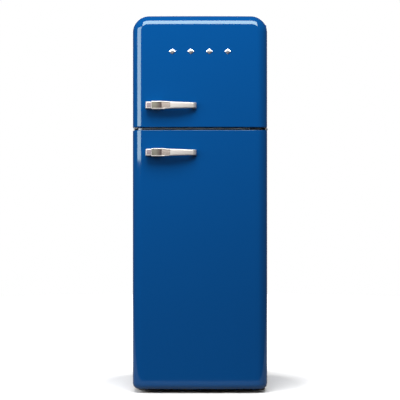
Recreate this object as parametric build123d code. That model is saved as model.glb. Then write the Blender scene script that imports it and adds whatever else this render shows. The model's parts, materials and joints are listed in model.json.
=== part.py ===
from build123d import *
import os
from math import cos, radians, sin, sqrt

# Top freezer refrigerator, in millimetres. The origin is on the floor under the middle of the
# appliance; the doors face -Y, +X is to the right of someone facing them, and +Z is up.

# ---------------------------------------------------------------- overall sizes
WIDTH = 600.0
HEIGHT = 1680.0
CABINET_DEPTH = 545.0
DOOR_DEPTH = 100.0
GASKET_GAP = 12.0             # between the doors' backs and the cabinet's front
HANDLE_PROJECTION = 48.0
REAR_SPACE = 15.0             # behind the back panel, for the condenser
FLOOR_GAP = 17.0              # under the refrigerator door
BASE_HEIGHT = 18.0            # under the cabinet, taken up by feet and rollers
FREEZER_DOOR_HEIGHT = 499.0
DOOR_GAP = 12.0               # between the two doors

# ---------------------------------------------------------------- outside shape
TOP_CORNER = 73.0             # radius of the top corners, seen from the front
DOOR_EDGE = 48.0              # rounding of the doors' front edges
DOOR_CROWN = 8.0              # how far the doors' middle stands ahead of their sides
GAP_EDGE = 4.0                # rounding of the edges next to the gap between the doors
BOTTOM_EDGE = 25.0            # rounding under the refrigerator door

# ---------------------------------------------------------------- walls and sheets
SHELL_SHEET = 1.2             # painted outer steel of cabinet and doors
FRAME_SHEET = 1.5
BACK_SHEET = 1.0
LINER = 2.0
FREEZER_SIDE_WALL = 55.0
FRIDGE_SIDE_WALL = 45.0
TOP_WALL = 60.0
MULLION = 60.0                # between the two compartments, centred on the door gap
FLOOR_WALL = 67.0
REAR_WALL = 70.0
OPENING_CORNER = 25.0
BAY_DEPTH = 180.0             # compressor bay, at the bottom of the back
BAY_HEIGHT = 242.0
BAY_WALL = 40.0

# ---------------------------------------------------------------- hinges and fits
HINGE_INSET = 22.0            # hinge axis in from the right side
HINGE_SETBACK = 40.0          # hinge axis ahead of the doors' backs
PIN_RADIUS = 5.0
PIN_REACH = 14.0              # how deep a pin goes into its door
RUNNING_FIT = 0.06            # radial clearance of pins, shafts and axles
SLIDE_GAP = 0.3               # between pieces that slide or rest on each other
BRACKET_PLATE = 4.0
FLANGE = 3.0
TOP_SLOT = 9.0                # slot in the freezer door that the top hinge arm turns in
TOP_ARM = 5.0
TOP_ARM_BELOW_TOP = 47.5
SCREW_HEAD = 4.5
SCREW_SHANK = 2.2
SCREW_LENGTH = 12.0
CAP_PROUD = 2.0               # middle hinge cap past the cabinet's side

# ---------------------------------------------------------------- doors
GASKET_WIDTH = 18.0
GASKET_OUTER = 24.0           # gasket's outer edge in from the cabinet's sides
GASKET_LIP_GAP = 3.5          # gasket's edge in from the doors' edges at the gap
GASKET_TOP_INSET = 36.0
GASKET_BOTTOM_DROP = 23.0     # gasket's lower edge below the compartment floor
DYKE_CLEARANCE = 13.0         # dyke in from the compartment's sides
DYKE_RISE = 10.0              # dyke in from the compartment's floor and ceiling
DYKE_WIDTH = 18.0
DYKE_DEPTH = 50.0
BIN_GAP = 7.0                 # bin's side to the dyke
BIN_RAIL = 4.0
BIN_REACH = 101.0
BIN_WALL = 2.5
BIN_BACK_GAP = 1.0
LUG_HEIGHT = 10.0
LUG_LENGTH = 30.0
BIN_LUG_RISE = 30.0           # a bin's lugs above its underside
BIN_RAIL_HEIGHT = 6.0
DAIRY_DROP = 147.0            # dairy bin's rim below the refrigerator ceiling
DAIRY_HEIGHT = 85.0
DAIRY_TO_MIDDLE = 200.0
MIDDLE_BIN_HEIGHT = 100.0
BOTTLE_BIN_RISE = 35.0        # above the compartment floor
BOTTLE_BIN_HEIGHT = 140.0
FREEZER_BIN_SIZES = ((30.0, 75.0), (215.0, 70.0))     # rise above the freezer floor, height
LID_THICKNESS = 2.0
LID_BARREL = 3.0
LID_PIN = 2.4
LID_BELOW_RIM = 6.5
LID_GAP = 1.5
TRIM_RECESS = 4.0
TRIM_THICKNESS = 3.0
TRIM_HEIGHT = 8.0
TRIM_STOP = 57.0              # trim's end, in from the hinge axis

# ---------------------------------------------------------------- handles
HANDLE_LENGTH = 224.0
HANDLE_FROM_EDGE = 60.0
UPPER_HANDLE_RISE = 96.0      # handle's middle above the freezer door's lower edge
LOWER_HANDLE_DROP = 100.0     # handle's middle below the refrigerator door's top edge
HANDLE_HEEL = 26.0
HANDLE_HEEL_HEIGHT = 30.0
HANDLE_BASE = 110.0
HANDLE_BASE_HEIGHT = 36.0
HANDLE_FOOT = 64.5            # how much of the base stands on the door
LEVER_ROOT_HEIGHT = 30.5
LEVER_TIP_HEIGHT = 24.5
LEVER_THICKNESS = 22.0
LEVER_TIP = 18.0              # the tip's own foot on the door
LEVER_TURN = 26.0             # how far the lever's back takes to turn down to the tip's foot
STUD_SPACING = 82.0
STUD_WIDTH = 33.0
STUD_HEIGHT = 25.0
STUD_THICKNESS = 3.0
STUDS_BELOW_TOP = 163.0

# ---------------------------------------------------------------- shelves and drawer
SHELF_GLASS = 4.0
SHELF_SIDE_GAP = 2.0
RIB_WIDTH = 10.0
RIB_HEIGHT = 8.0
SHELF_TRIM = 10.0
SHELF_FROM_BIN = 15.0         # shelf's front edge behind the bins
SHELF_FROM_DUCT = 5.0
UPPER_SHELF_DROP = 265.0      # upper shelf below the refrigerator ceiling
SHELF_SPACING = 240.0
CRISPER_SIDE_GAP = 40.0
CRISPER_WALL = 2.5
CRISPER_TOP_GAP = 10.0
CRISPER_LIP = 8.0
HOUSING_HALF = 110.0          # control housing under the refrigerator ceiling
HOUSING_DEPTH = 120.0
HOUSING_HEIGHT = 40.0
HOUSING_WALL = 2.0
HOUSING_FROM_DYKE = 12.0
LENS_LEFT = -90.0
LENS_RIGHT = 10.0
LENS_DEPTH = 80.0
LENS_DROP = 4.0
KNOB_X = 62.0
KNOB_RADIUS = 16.0
KNOB_HEIGHT = 14.0
KNOB_GRIPS = 18
KNOB_SHAFT = 3.0
BUTTON_X = -72.0
BUTTON_RADIUS = 4.0
BUTTON_SLEEVE = 18.0
RACK_RISE = 205.0             # freezer rack above the freezer floor
RACK_WIRE = 2.5
RACK_BARS = 15
RACK_BACK_GAP = 25.0
TRAY_LENGTH = 220.0           # ice tray
TRAY_WIDTH = 90.0
TRAY_HEIGHT = 35.0
TRAY_WALL = 3.0
TRAY_SETBACK = 30.0
POCKET_COLUMNS = 6
POCKET_ROWS = 2

# ---------------------------------------------------------------- cooling system
CAN_LENGTH = 190.0
CAN_DEPTH = 136.0
CAN_HEIGHT = 155.0
CAN_X = 70.0
GROMMET_RADIUS = 11.0
GROMMET_HEIGHT = 17.5
TUBE_RADIUS = 2.5
WIRE_RADIUS = 0.8
CONDENSER_SIDE_GAP = 60.0     # condenser's bends in from the cabinet's sides
CONDENSER_DROP = 140.0        # its first run below the cabinet's top
CONDENSER_RISE = 140.0        # its last run at least this far above the compressor bay
CONDENSER_PITCH = 60.0
CONDENSER_BEND = 28.0
RISER_OFFSET = 22.0
TUBE_END_DROP = 25.0          # both ends of the tube reach this far down into the bay
WIRE_COUNT = 26
WIRE_OVERHANG = 12.0
SPACER_HALF_HEIGHT = 12.0
SPACER_LIP = 8.0
DUCT_SIDE_GAP = 55.0
DUCT_DEPTH = 55.0
DUCT_HEIGHT = 410.0
DUCT_DROP = 45.0              # duct cover below the refrigerator ceiling
DUCT_WALL = 2.5
EVAPORATOR_PITCH = 40.0
EVAPORATOR_CHANNEL = 8.0
EVAPORATOR_RELIEF = 2.5
FAN_RISE = 155.0              # fan's axis above the duct cover's lower edge
FAN_RADIUS = 42.0
FAN_BLADES = 7
FAN_DEPTH = 12.0
BLADE_PITCH_ANGLE = 38.0
MOTOR_RADIUS = 18.0
MOTOR_LENGTH = 18.0
MOTOR_HALF_PLATE = 58.0
MOTOR_POST = 50.0
SHAFT_RADIUS = 2.0
STARTER_LENGTH = 38.0
STARTER_WIDTH = 56.0
STARTER_HEIGHT = 60.0
GLAND_LENGTH = 16.0
GLAND_RADIUS = 8.0
LEAD_RADIUS = 4.0             # the gland's bore
DRIER_LENGTH = 90.0

# ---------------------------------------------------------------- feet and rollers
FOOT_INSET = 40.0
FOOT_RADIUS = 18.0
FOOT_PAD = 8.0
FOOT_STEM = 5.0
FOOT_STEM_LENGTH = 32.0
ROLLER_RADIUS = 14.0
ROLLER_WIDTH = 20.0
ROLLER_INSET = 35.0
ROLLER_FROM_BACK = 45.0
AXLE_RADIUS = 4.0

# ---------------------------------------------------------------- places that follow from them
HALF = WIDTH / 2
TOTAL_DEPTH = HANDLE_PROJECTION + DOOR_DEPTH + GASKET_GAP + CABINET_DEPTH + REAR_SPACE
DOOR_FRONT = -TOTAL_DEPTH / 2 + HANDLE_PROJECTION
DOOR_BACK = DOOR_FRONT + DOOR_DEPTH
CABINET_FRONT = DOOR_BACK + GASKET_GAP
CABINET_BACK = CABINET_FRONT + CABINET_DEPTH
FREEZER_DOOR_BOTTOM = HEIGHT - FREEZER_DOOR_HEIGHT
FRIDGE_DOOR_TOP = FREEZER_DOOR_BOTTOM - DOOR_GAP
GAP_MIDDLE = FREEZER_DOOR_BOTTOM - DOOR_GAP / 2
FREEZER_HALF = HALF - FREEZER_SIDE_WALL
FREEZER_FLOOR = GAP_MIDDLE + MULLION / 2
FREEZER_CEILING = HEIGHT - TOP_WALL
FRIDGE_HALF = HALF - FRIDGE_SIDE_WALL
FRIDGE_FLOOR = BASE_HEIGHT + FLOOR_WALL
FRIDGE_CEILING = GAP_MIDDLE - MULLION / 2
INNER_BACK = CABINET_BACK - REAR_WALL
BAY_FRONT = CABINET_BACK - BAY_DEPTH
BAY_TOP = BASE_HEIGHT + BAY_HEIGHT
STEP_FRONT = BAY_FRONT - BAY_WALL
STEP_TOP = BAY_TOP + BAY_WALL
LINER_FRONT = CABINET_FRONT + FRAME_SHEET
HINGE_X = HALF - HINGE_INSET
HINGE_Y = DOOR_BACK - HINGE_SETBACK
BIN_FRONT = DOOR_BACK + BIN_BACK_GAP
BIN_BACK = BIN_FRONT + BIN_REACH
SHELF_FRONT = BIN_BACK + SHELF_FROM_BIN
DUCT_FRONT = INNER_BACK - DUCT_DEPTH
SHELF_BACK = DUCT_FRONT - SHELF_FROM_DUCT
TOP_ARM_LOW = HEIGHT - TOP_ARM_BELOW_TOP - TOP_ARM / 2
UPPER_SHELF = FRIDGE_CEILING - UPPER_SHELF_DROP
LOWER_SHELF = UPPER_SHELF - SHELF_SPACING
FREEZER_SHELF = FREEZER_FLOOR + RACK_RISE
CONDENSER_HALF = HALF - CONDENSER_SIDE_GAP
CONDENSER_TOP = HEIGHT - CONDENSER_DROP
CONDENSER_ROOM = CONDENSER_TOP - BAY_TOP - CONDENSER_RISE
CONDENSER_RUNS = 2 * int((CONDENSER_ROOM / CONDENSER_PITCH + 1) // 2)
DUCT_HALF = FRIDGE_HALF - DUCT_SIDE_GAP
DUCT_TOP = FRIDGE_CEILING - DUCT_DROP
DUCT_BOTTOM = DUCT_TOP - DUCT_HEIGHT
FAN_HEIGHT = DUCT_BOTTOM + FAN_RISE
DAIRY_TOP = FRIDGE_CEILING - DAIRY_DROP
DAIRY_BOTTOM = DAIRY_TOP - DAIRY_HEIGHT
MIDDLE_TOP = DAIRY_BOTTOM - DAIRY_TO_MIDDLE
MIDDLE_BIN = (MIDDLE_TOP - MIDDLE_BIN_HEIGHT, MIDDLE_TOP)
BOTTLE_BIN = (FRIDGE_FLOOR + BOTTLE_BIN_RISE, FRIDGE_FLOOR + BOTTLE_BIN_RISE + BOTTLE_BIN_HEIGHT)
FREEZER_BINS = [(FREEZER_FLOOR + rise, FREEZER_FLOOR + rise + high) for rise, high in FREEZER_BIN_SIZES]
HOUSING_FRONT = DOOR_BACK + DYKE_DEPTH + HOUSING_FROM_DYKE
HOUSING_BACK = HOUSING_FRONT + HOUSING_DEPTH
HOUSING_LOW = FRIDGE_CEILING - HOUSING_HEIGHT


# ---------------------------------------------------------------- shared shapes
def block(x0, x1, y0, y1, z0, z1):
    """A plain block between two corners."""
    return Pos((x0 + x1) / 2, (y0 + y1) / 2, (z0 + z1) / 2) * Box(x1 - x0, y1 - y0, z1 - z0)


def both_sides(piece):
    """A piece and its mirror image across the middle of the appliance."""
    return [piece, mirror(piece, about=Plane.YZ)]


def upright(outline, front, back):
    """A front-view outline (x, z) made solid from its back plane to its front plane."""
    return extrude(Plane.XZ.offset(-back) * outline, amount=back - front)


def arch(half, bottom, top, radius):
    """A front-view outline with its two top corners rounded."""
    plate = Pos(0, (bottom + top) / 2) * Rectangle(2 * half, top - bottom)
    return fillet(plate.vertices().group_by(Axis.Y)[-1], radius)


def rounded(half, bottom, top, radius):
    """A front-view outline with its four corners rounded."""
    return Pos(0, (bottom + top) / 2) * RectangleRounded(2 * half, top - bottom, radius)


def rod(start, end, radius):
    """A round bar from one point to another."""
    line = Line(start, end)
    return extrude(Plane(line @ 0, z_dir=line % 0) * Circle(radius), amount=line.length)


def pipe(points, bend, radius):
    """A round tube along straight runs joined by bends of one radius."""
    path = FilletPolyline(*points, radius=bend)
    return sweep(Plane(path @ 0, z_dir=path % 0) * Circle(radius), path=path)


def tray(half, front, back, bottom, top, wall):
    """A box that is open at the top."""
    inside = block(-half + wall, half - wall, front + wall, back - wall, bottom + wall, top + 1)
    return block(-half, half, front, back, bottom, top) - inside


def hinge_bore(bottom, top):
    """The hole that a hinge pin turns in."""
    return rod((HINGE_X, HINGE_Y, bottom), (HINGE_X, HINGE_Y, top), PIN_RADIUS + RUNNING_FIT)


# ---------------------------------------------------------------- cabinet
def compartment(half, bottom, top):
    """The space of a compartment, from the front frame back."""
    return upright(rounded(half, bottom, top, OPENING_CORNER), LINER_FRONT, INNER_BACK)


def liner_shell(half, bottom, top):
    """A compartment's moulded liner: rounded corners inside, square corners against the foam."""
    back = INNER_BACK + LINER
    outside = block(-half - LINER, half + LINER, LINER_FRONT, back, bottom - LINER, top + LINER)
    return outside - compartment(half, bottom, top)


def step_block(grow):
    """What the step over the compressor bay takes up at the bottom of the refrigerator compartment."""
    half = FRIDGE_HALF + LINER
    return block(-half, half, STEP_FRONT + grow, INNER_BACK + LINER, FRIDGE_FLOOR - LINER, STEP_TOP - grow)


def ribs(half, top, front, back):
    """The pair of moulded ribs that a shelf rests on."""
    wall_rib = block(half - RIB_WIDTH, half + LINER / 2, front, back, top - RIB_HEIGHT, top)
    return both_sides(wall_rib)


def cabinet_wrapper():
    outer = arch(HALF, BASE_HEIGHT, HEIGHT, TOP_CORNER)
    inner = arch(HALF - SHELL_SHEET, BASE_HEIGHT - 1, HEIGHT - SHELL_SHEET, TOP_CORNER - SHELL_SHEET)
    return upright(outer, CABINET_FRONT, CABINET_BACK) - upright(inner, CABINET_FRONT, CABINET_BACK)


def inside_wrapper(front, back, bottom):
    """A solid that fills the wrapper between two planes."""
    outline = arch(HALF - SHELL_SHEET, bottom, HEIGHT - SHELL_SHEET, TOP_CORNER - SHELL_SHEET)
    return upright(outline, front, back)


def cabinet_front_frame():
    plate = inside_wrapper(CABINET_FRONT, LINER_FRONT, BASE_HEIGHT)
    for half, bottom, top in ((FREEZER_HALF, FREEZER_FLOOR, FREEZER_CEILING),
                              (FRIDGE_HALF, FRIDGE_FLOOR, FRIDGE_CEILING)):
        plate -= upright(rounded(half, bottom, top, OPENING_CORNER), CABINET_FRONT, LINER_FRONT)
    return plate - screw_shanks()


def cabinet_back_panel():
    return inside_wrapper(CABINET_BACK - BACK_SHEET, CABINET_BACK, BAY_TOP)


def foot_holes():
    top = BASE_HEIGHT + FOOT_STEM_LENGTH
    holes = rod((foot_x(), foot_y(), BASE_HEIGHT - 1), (foot_x(), foot_y(), top),
                FOOT_STEM + RUNNING_FIT)
    return both_sides(holes)


def base_pan():
    inner = HALF - SHELL_SHEET
    floor = block(-inner, inner, LINER_FRONT, BAY_FRONT, BASE_HEIGHT, BASE_HEIGHT + FRAME_SHEET)
    riser = block(-inner, inner, BAY_FRONT - FRAME_SHEET, BAY_FRONT, BASE_HEIGHT, BAY_TOP)
    ceiling = block(-inner, inner, BAY_FRONT - FRAME_SHEET, CABINET_BACK, BAY_TOP - FRAME_SHEET, BAY_TOP)
    return floor + riser + ceiling - foot_holes()


def cabinet_insulation():
    """Foam slabs that meet face to face around the two compartments and over the compressor bay."""
    front, back = LINER_FRONT, CABINET_BACK - BACK_SHEET
    low, bay = BASE_HEIGHT + FRAME_SHEET, BAY_FRONT - FRAME_SHEET
    cold, cool = FREEZER_HALF + LINER, FRIDGE_HALF + LINER
    floor, step = FRIDGE_FLOOR - LINER, STEP_TOP - LINER
    middle_low, middle_high = FRIDGE_CEILING + LINER, FREEZER_FLOOR - LINER
    ceiling = FREEZER_CEILING + LINER
    inner, step_front = INNER_BACK + LINER, STEP_FRONT + LINER
    slabs = [block(-HALF, HALF, front, back, ceiling, HEIGHT),
             block(-cold, cold, inner, back, middle_high, ceiling),
             block(-HALF, HALF, front, back, middle_low, middle_high),
             block(-cool, cool, inner, back, step, middle_low),
             block(-cool, cool, step_front, back, BAY_TOP, step),
             block(-cool, cool, step_front, bay, floor, BAY_TOP),
             block(-HALF, HALF, front, bay, low, floor)]
    slabs += both_sides(block(cold, HALF, front, back, middle_high, ceiling))
    slabs += both_sides(block(cool, HALF, front, back, BAY_TOP, middle_low))
    slabs += both_sides(block(cool, HALF, front, bay, floor, BAY_TOP))
    whole = inside_wrapper(front, back, low)
    return [(slab & whole) - foot_holes() - screw_shanks() for slab in slabs]


def freezer_liner():
    shell = liner_shell(FREEZER_HALF, FREEZER_FLOOR, FREEZER_CEILING)
    return shell + ribs(FREEZER_HALF, FREEZER_SHELF, SHELF_FRONT + SHELF_TRIM, INNER_BACK + LINER / 2)


def fridge_liner():
    room = compartment(FRIDGE_HALF, FRIDGE_FLOOR, FRIDGE_CEILING) - step_block(0)
    shell = liner_shell(FRIDGE_HALF, FRIDGE_FLOOR, FRIDGE_CEILING) + step_block(0)
    shell -= room + step_block(LINER)
    for level in (UPPER_SHELF, LOWER_SHELF):
        shell += ribs(FRIDGE_HALF, level, SHELF_FRONT + SHELF_TRIM, SHELF_BACK)
    return shell + ribs(FRIDGE_HALF, STEP_TOP - SHELF_GLASS, SHELF_FRONT + SHELF_TRIM, STEP_FRONT)


# ---------------------------------------------------------------- hinges
def flange_x():
    """The hinge flanges' inner edge, just clear of the gaskets, and outer edge."""
    return HALF - GASKET_OUTER + FLANGE, HALF - HINGE_INSET / 3


def screw_places():
    """Centres of the hinge screws, two on each bracket flange."""
    inner, outer = flange_x()
    x = (inner + outer) / 2
    low = BASE_HEIGHT + 12
    middle = GAP_MIDDLE
    top = TOP_ARM_LOW
    return [(x, z) for z in (low, low + 24, middle - 24, middle + 24, top - 50, top - 22)]


def screw_shanks():
    back = CABINET_FRONT + SCREW_LENGTH
    front = CABINET_FRONT - FLANGE
    return [rod((x, front, z), (x, back, z), SCREW_SHANK) for x, z in screw_places()]


def hinge_screws():
    front = CABINET_FRONT - FLANGE
    heads = [rod((x, front - 2, z), (x, front, z), SCREW_HEAD) for x, z in screw_places()]
    return [head + shank for head, shank in zip(heads, screw_shanks())]


def arm_plate(bottom, thickness):
    """A hinge arm: an eye round the hinge axis, tapering back to the flange beside the gasket."""
    inner, outer = flange_x()
    eye = Pos(HINGE_X, HINGE_Y) * Circle(1.6 * PIN_RADIUS)
    eye_side = 1.6 * PIN_RADIUS * cos(radians(10))
    tail = make_face(Polyline(
        (HINGE_X - eye_side, HINGE_Y + 1), (inner, DOOR_BACK - FLANGE), (inner, CABINET_FRONT),
        (outer, CABINET_FRONT), (outer, DOOR_BACK - 10), (HINGE_X + eye_side, HINGE_Y + 1), close=True))
    return extrude(Pos(0, 0, bottom) * (eye + tail), amount=thickness)


def flange(bottom, top):
    inner, outer = flange_x()
    return block(inner, outer, CABINET_FRONT - FLANGE, CABINET_FRONT, bottom, top)


def top_hinge_bracket():
    arm = arm_plate(TOP_ARM_LOW, TOP_ARM)
    pin = rod((HINGE_X, HINGE_Y, TOP_ARM_LOW - PIN_REACH), (HINGE_X, HINGE_Y, TOP_ARM_LOW + 1), PIN_RADIUS)
    return arm + pin + flange(TOP_ARM_LOW - 62, TOP_ARM_LOW + TOP_ARM) - screw_shanks()


def middle_hinge_bracket():
    low = GAP_MIDDLE - BRACKET_PLATE / 2
    arm = arm_plate(low, BRACKET_PLATE)
    pin = rod((HINGE_X, HINGE_Y, FRIDGE_DOOR_TOP - PIN_REACH),
              (HINGE_X, HINGE_Y, FREEZER_DOOR_BOTTOM + PIN_REACH), PIN_RADIUS)
    return arm + pin + flange(GAP_MIDDLE - 34, GAP_MIDDLE + 34) - screw_shanks()


def bottom_hinge_bracket():
    low = FLOOR_GAP - BRACKET_PLATE - 3
    arm = arm_plate(low, BRACKET_PLATE)
    pin = rod((HINGE_X, HINGE_Y, low + 1), (HINGE_X, HINGE_Y, FLOOR_GAP + PIN_REACH), PIN_RADIUS)
    return arm + pin + flange(low, BASE_HEIGHT + 46) - screw_shanks()


def middle_hinge_cap():
    """A bright cap over the side of the middle hinge arm."""
    front = HINGE_Y - 2 * PIN_RADIUS
    outline = Pos((flange_x()[1] + HALF + CAP_PROUD) / 2, (front + CABINET_FRONT - FLANGE) / 2)
    width = HALF + CAP_PROUD - flange_x()[1]
    plan = outline * RectangleRounded(width, CABINET_FRONT - FLANGE - front, width / 2.5)
    return extrude(Pos(0, 0, GAP_MIDDLE - DOOR_GAP / 2 + 1) * plan, amount=DOOR_GAP - 2)


# ---------------------------------------------------------------- feet and rollers
def foot_x():
    return HALF - FOOT_INSET


def foot_y():
    return CABINET_FRONT + FOOT_INSET


def front_foot(side):
    x, y = side * foot_x(), foot_y()
    pad = rod((x, y, 0), (x, y, FOOT_PAD), FOOT_RADIUS)
    pad = chamfer(pad.edges().group_by(Axis.Z)[-1], FOOT_PAD / 4)
    stem = rod((x, y, FOOT_PAD - 1), (x, y, BASE_HEIGHT + FOOT_STEM_LENGTH - 2), FOOT_STEM)
    return pad + stem


def roller_place(side):
    return side * (HALF - ROLLER_INSET), CABINET_BACK - ROLLER_FROM_BACK


def rear_roller(side):
    x, y = roller_place(side)
    wheel = rod((x - ROLLER_WIDTH / 2, y, ROLLER_RADIUS), (x + ROLLER_WIDTH / 2, y, ROLLER_RADIUS),
                ROLLER_RADIUS)
    wheel = fillet(wheel.edges(), ROLLER_WIDTH / 10)
    return wheel - rod((x - ROLLER_WIDTH, y, ROLLER_RADIUS), (x + ROLLER_WIDTH, y, ROLLER_RADIUS),
                       AXLE_RADIUS + RUNNING_FIT)


def compressor_carrier():
    """A cross plate under the bay, with a fork and axle for each rear roller."""
    inner = HALF - SHELL_SHEET
    plate = block(-inner, inner, can_y() - CAN_DEPTH / 2 - 10, CABINET_BACK, BASE_HEIGHT,
                  BASE_HEIGHT + FRAME_SHEET)
    for side in (-1, 1):
        x, y = roller_place(side)
        room = ROLLER_RADIUS + 2
        reach = ROLLER_WIDTH / 2 + 1
        plate -= block(x - reach, x + reach, y - room, y + room, 0, HEIGHT / 10)
        for ear in (x - reach - FLANGE, x + reach):
            cheek = block(ear, ear + FLANGE, y - room, y + room, 2 * AXLE_RADIUS, BASE_HEIGHT + 12)
            plate += cheek
        plate += rod((x - reach - FLANGE, y, ROLLER_RADIUS), (x + reach + FLANGE, y, ROLLER_RADIUS),
                     AXLE_RADIUS)
    return plate


# ---------------------------------------------------------------- cooling system
def can_y():
    return (BAY_FRONT + CABINET_BACK) / 2


def can_bottom():
    return BASE_HEIGHT + FRAME_SHEET + GROMMET_HEIGHT


def compressor_can():
    """A welded can: a stadium-like body, rounded top and bottom, with its weld band."""
    body = extrude(Pos(CAN_X, can_y(), can_bottom()) * Ellipse(CAN_LENGTH / 2, CAN_DEPTH / 2),
                   amount=CAN_HEIGHT)
    body = fillet(body.edges().group_by(Axis.Z)[-1], CAN_HEIGHT / 4)
    body = fillet(body.edges().group_by(Axis.Z)[0], CAN_HEIGHT / 6)
    band_low = can_bottom() + CAN_HEIGHT * 0.55
    band = extrude(Pos(CAN_X, can_y(), band_low) * Ellipse(CAN_LENGTH / 2 + 3, CAN_DEPTH / 2 + 3), amount=5)
    return body + band


def grommet_places():
    reach_x, reach_y = CAN_LENGTH * 0.42, CAN_DEPTH * 0.4
    return [(CAN_X + i * reach_x, can_y() + j * reach_y) for i in (-1, 1) for j in (-1, 1)]


def compressor():
    low = can_bottom()
    plate = Pos(CAN_X, can_y(), low) * RectangleRounded(CAN_LENGTH, CAN_DEPTH, 12)
    return compressor_can() + extrude(plate, amount=FLANGE)


def compressor_grommets():
    low = BASE_HEIGHT + FRAME_SHEET
    return [rod((x, y, low), (x, y, can_bottom()), GROMMET_RADIUS) for x, y in grommet_places()]


def starter_box():
    """The relay housing on the can's side; the mains lead goes in by the gland on its rear."""
    left = CAN_X - CAN_LENGTH / 2 - STARTER_LENGTH
    low = can_bottom() + STARTER_HEIGHT / 2
    x, z = left + STARTER_LENGTH / 2, low + 0.3 * STARTER_HEIGHT
    side, back = STARTER_WIDTH / 2, can_y() + STARTER_WIDTH / 2
    shell = block(left, CAN_X, can_y() - side, back, low, low + STARTER_HEIGHT) - compressor_can()
    mouth, root = (x, back + GLAND_LENGTH, z), (x, back - 1, z)
    return shell + rod(mouth, root, GLAND_RADIUS) - rod(mouth, root, LEAD_RADIUS)


def condenser_y():
    return CABINET_BACK + REAR_SPACE / 2 + 0.5


def condenser_levels():
    return [CONDENSER_TOP - CONDENSER_PITCH * i for i in range(CONDENSER_RUNS)]


def drop_x():
    """The side-to-side place of the tube that leaves the condenser's last run."""
    return -CONDENSER_HALF + RISER_OFFSET / 1.5


def condenser_tube():
    """Up one side from the bay, back and forth down the back, then into the bay again."""
    y = condenser_y()
    low = BAY_TOP - TUBE_END_DROP
    riser = -CONDENSER_HALF - RISER_OFFSET
    points = [(riser, y, low), (riser, y, CONDENSER_TOP)]
    side = 1
    for level in condenser_levels():
        if level != CONDENSER_TOP:
            points.append((-side * CONDENSER_HALF, y, level))
        end = CONDENSER_HALF if level != condenser_levels()[-1] else -drop_x()
        points.append((side * end, y, level))
        side = -side
    points.append((drop_x(), y, low))
    return pipe(points, CONDENSER_BEND, TUBE_RADIUS)


def condenser_wires():
    reach = TUBE_RADIUS + WIRE_RADIUS + RUNNING_FIT
    low = condenser_levels()[-1] - WIRE_OVERHANG
    high = CONDENSER_TOP + WIRE_OVERHANG
    spread = CONDENSER_HALF - WIRE_OVERHANG
    wires = []
    for i in range(WIRE_COUNT):
        x = -spread + 2 * spread * i / (WIRE_COUNT - 1)
        for y in (condenser_y() - reach, condenser_y() + reach):
            wires.append(rod((x, y, low), (x, y, high), WIRE_RADIUS))
    return wires


def condenser_brackets():
    """Four wall spacers on the back panel, each with a lip behind a bend of the tube."""
    levels = condenser_levels()
    right = [(levels[0] + levels[1]) / 2, (levels[-2] + levels[-1]) / 2]
    left = [(levels[1] + levels[2]) / 2, (levels[-4] + levels[-3]) / 2]
    side_face = CONDENSER_HALF + TUBE_RADIUS + 1
    behind = CABINET_BACK + REAR_SPACE
    brackets = []
    for side, places in ((1, right), (-1, left)):
        for z in places:
            low, high = z - SPACER_HALF_HEIGHT, z + SPACER_HALF_HEIGHT
            post = block(side_face, side_face + SPACER_HALF_HEIGHT, CABINET_BACK, behind, low, high)
            bracket = post + block(side_face - SPACER_LIP, side_face, behind - SPACER_LIP / 2, behind, low, high)
            brackets.append(bracket if side > 0 else mirror(bracket, about=Plane.YZ))
    return brackets


def refrigerant_pipes():
    """Discharge pipe, suction pipe, and the drier with its capillary, as brazed together."""
    y = condenser_y()
    low = BAY_TOP - TUBE_END_DROP
    riser = -CONDENSER_HALF - RISER_OFFSET
    port_y = can_y() + CAN_DEPTH * 0.3
    port_z = can_bottom() + CAN_HEIGHT * 0.8
    discharge = pipe([(riser, y, low), (riser, y, port_z), (riser, port_y, port_z),
                      (CAN_X, port_y, port_z)], 16, TUBE_RADIUS) - compressor_can()
    suction = pipe([(CAN_X, port_y, port_z - 60), (CAN_X + CAN_LENGTH * 0.75, port_y, port_z - 60),
                    (CAN_X + CAN_LENGTH * 0.75, port_y, BAY_TOP - FRAME_SHEET)], 20, TUBE_RADIUS + 1)
    drier_low = low - DRIER_LENGTH
    drier = rod((drop_x(), y, drier_low), (drop_x(), y, low), 2.6 * TUBE_RADIUS)
    capillary = pipe([(drop_x(), y, drier_low), (drop_x(), y, drier_low - 30),
                      (drop_x(), BAY_FRONT + 30, drier_low - 30),
                      (drop_x(), BAY_FRONT + 30, BAY_TOP - FRAME_SHEET)], 14, TUBE_RADIUS / 2)
    return [discharge, suction - compressor(), drier + capillary]


def evaporator_plate(half, bottom, top):
    """A roll-bond plate flat on the liner's back wall, with its channel raised on the front."""
    face = INNER_BACK - LINER
    raised = face - EVAPORATOR_RELIEF
    pitch, wide = EVAPORATOR_PITCH, EVAPORATOR_CHANNEL
    reach = half - pitch / 2
    plate = block(-half, half, face, INNER_BACK, bottom, top)
    runs = int((top - bottom - pitch) // pitch)
    for i in range(runs):
        z = bottom + pitch * (i + 0.5)
        plate += block(-reach, reach, raised, face, z, z + wide)
        if i < runs - 1:
            end = reach if i % 2 else wide - reach
            plate += block(end - wide, end, raised, face, z, z + pitch)
    return plate


def drip_tray():
    x, y, low = CAN_X, can_y(), can_bottom() + CAN_HEIGHT
    return Pos(x, y, 0) * tray(80, -55, 55, low, low + 24, 2)


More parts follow.
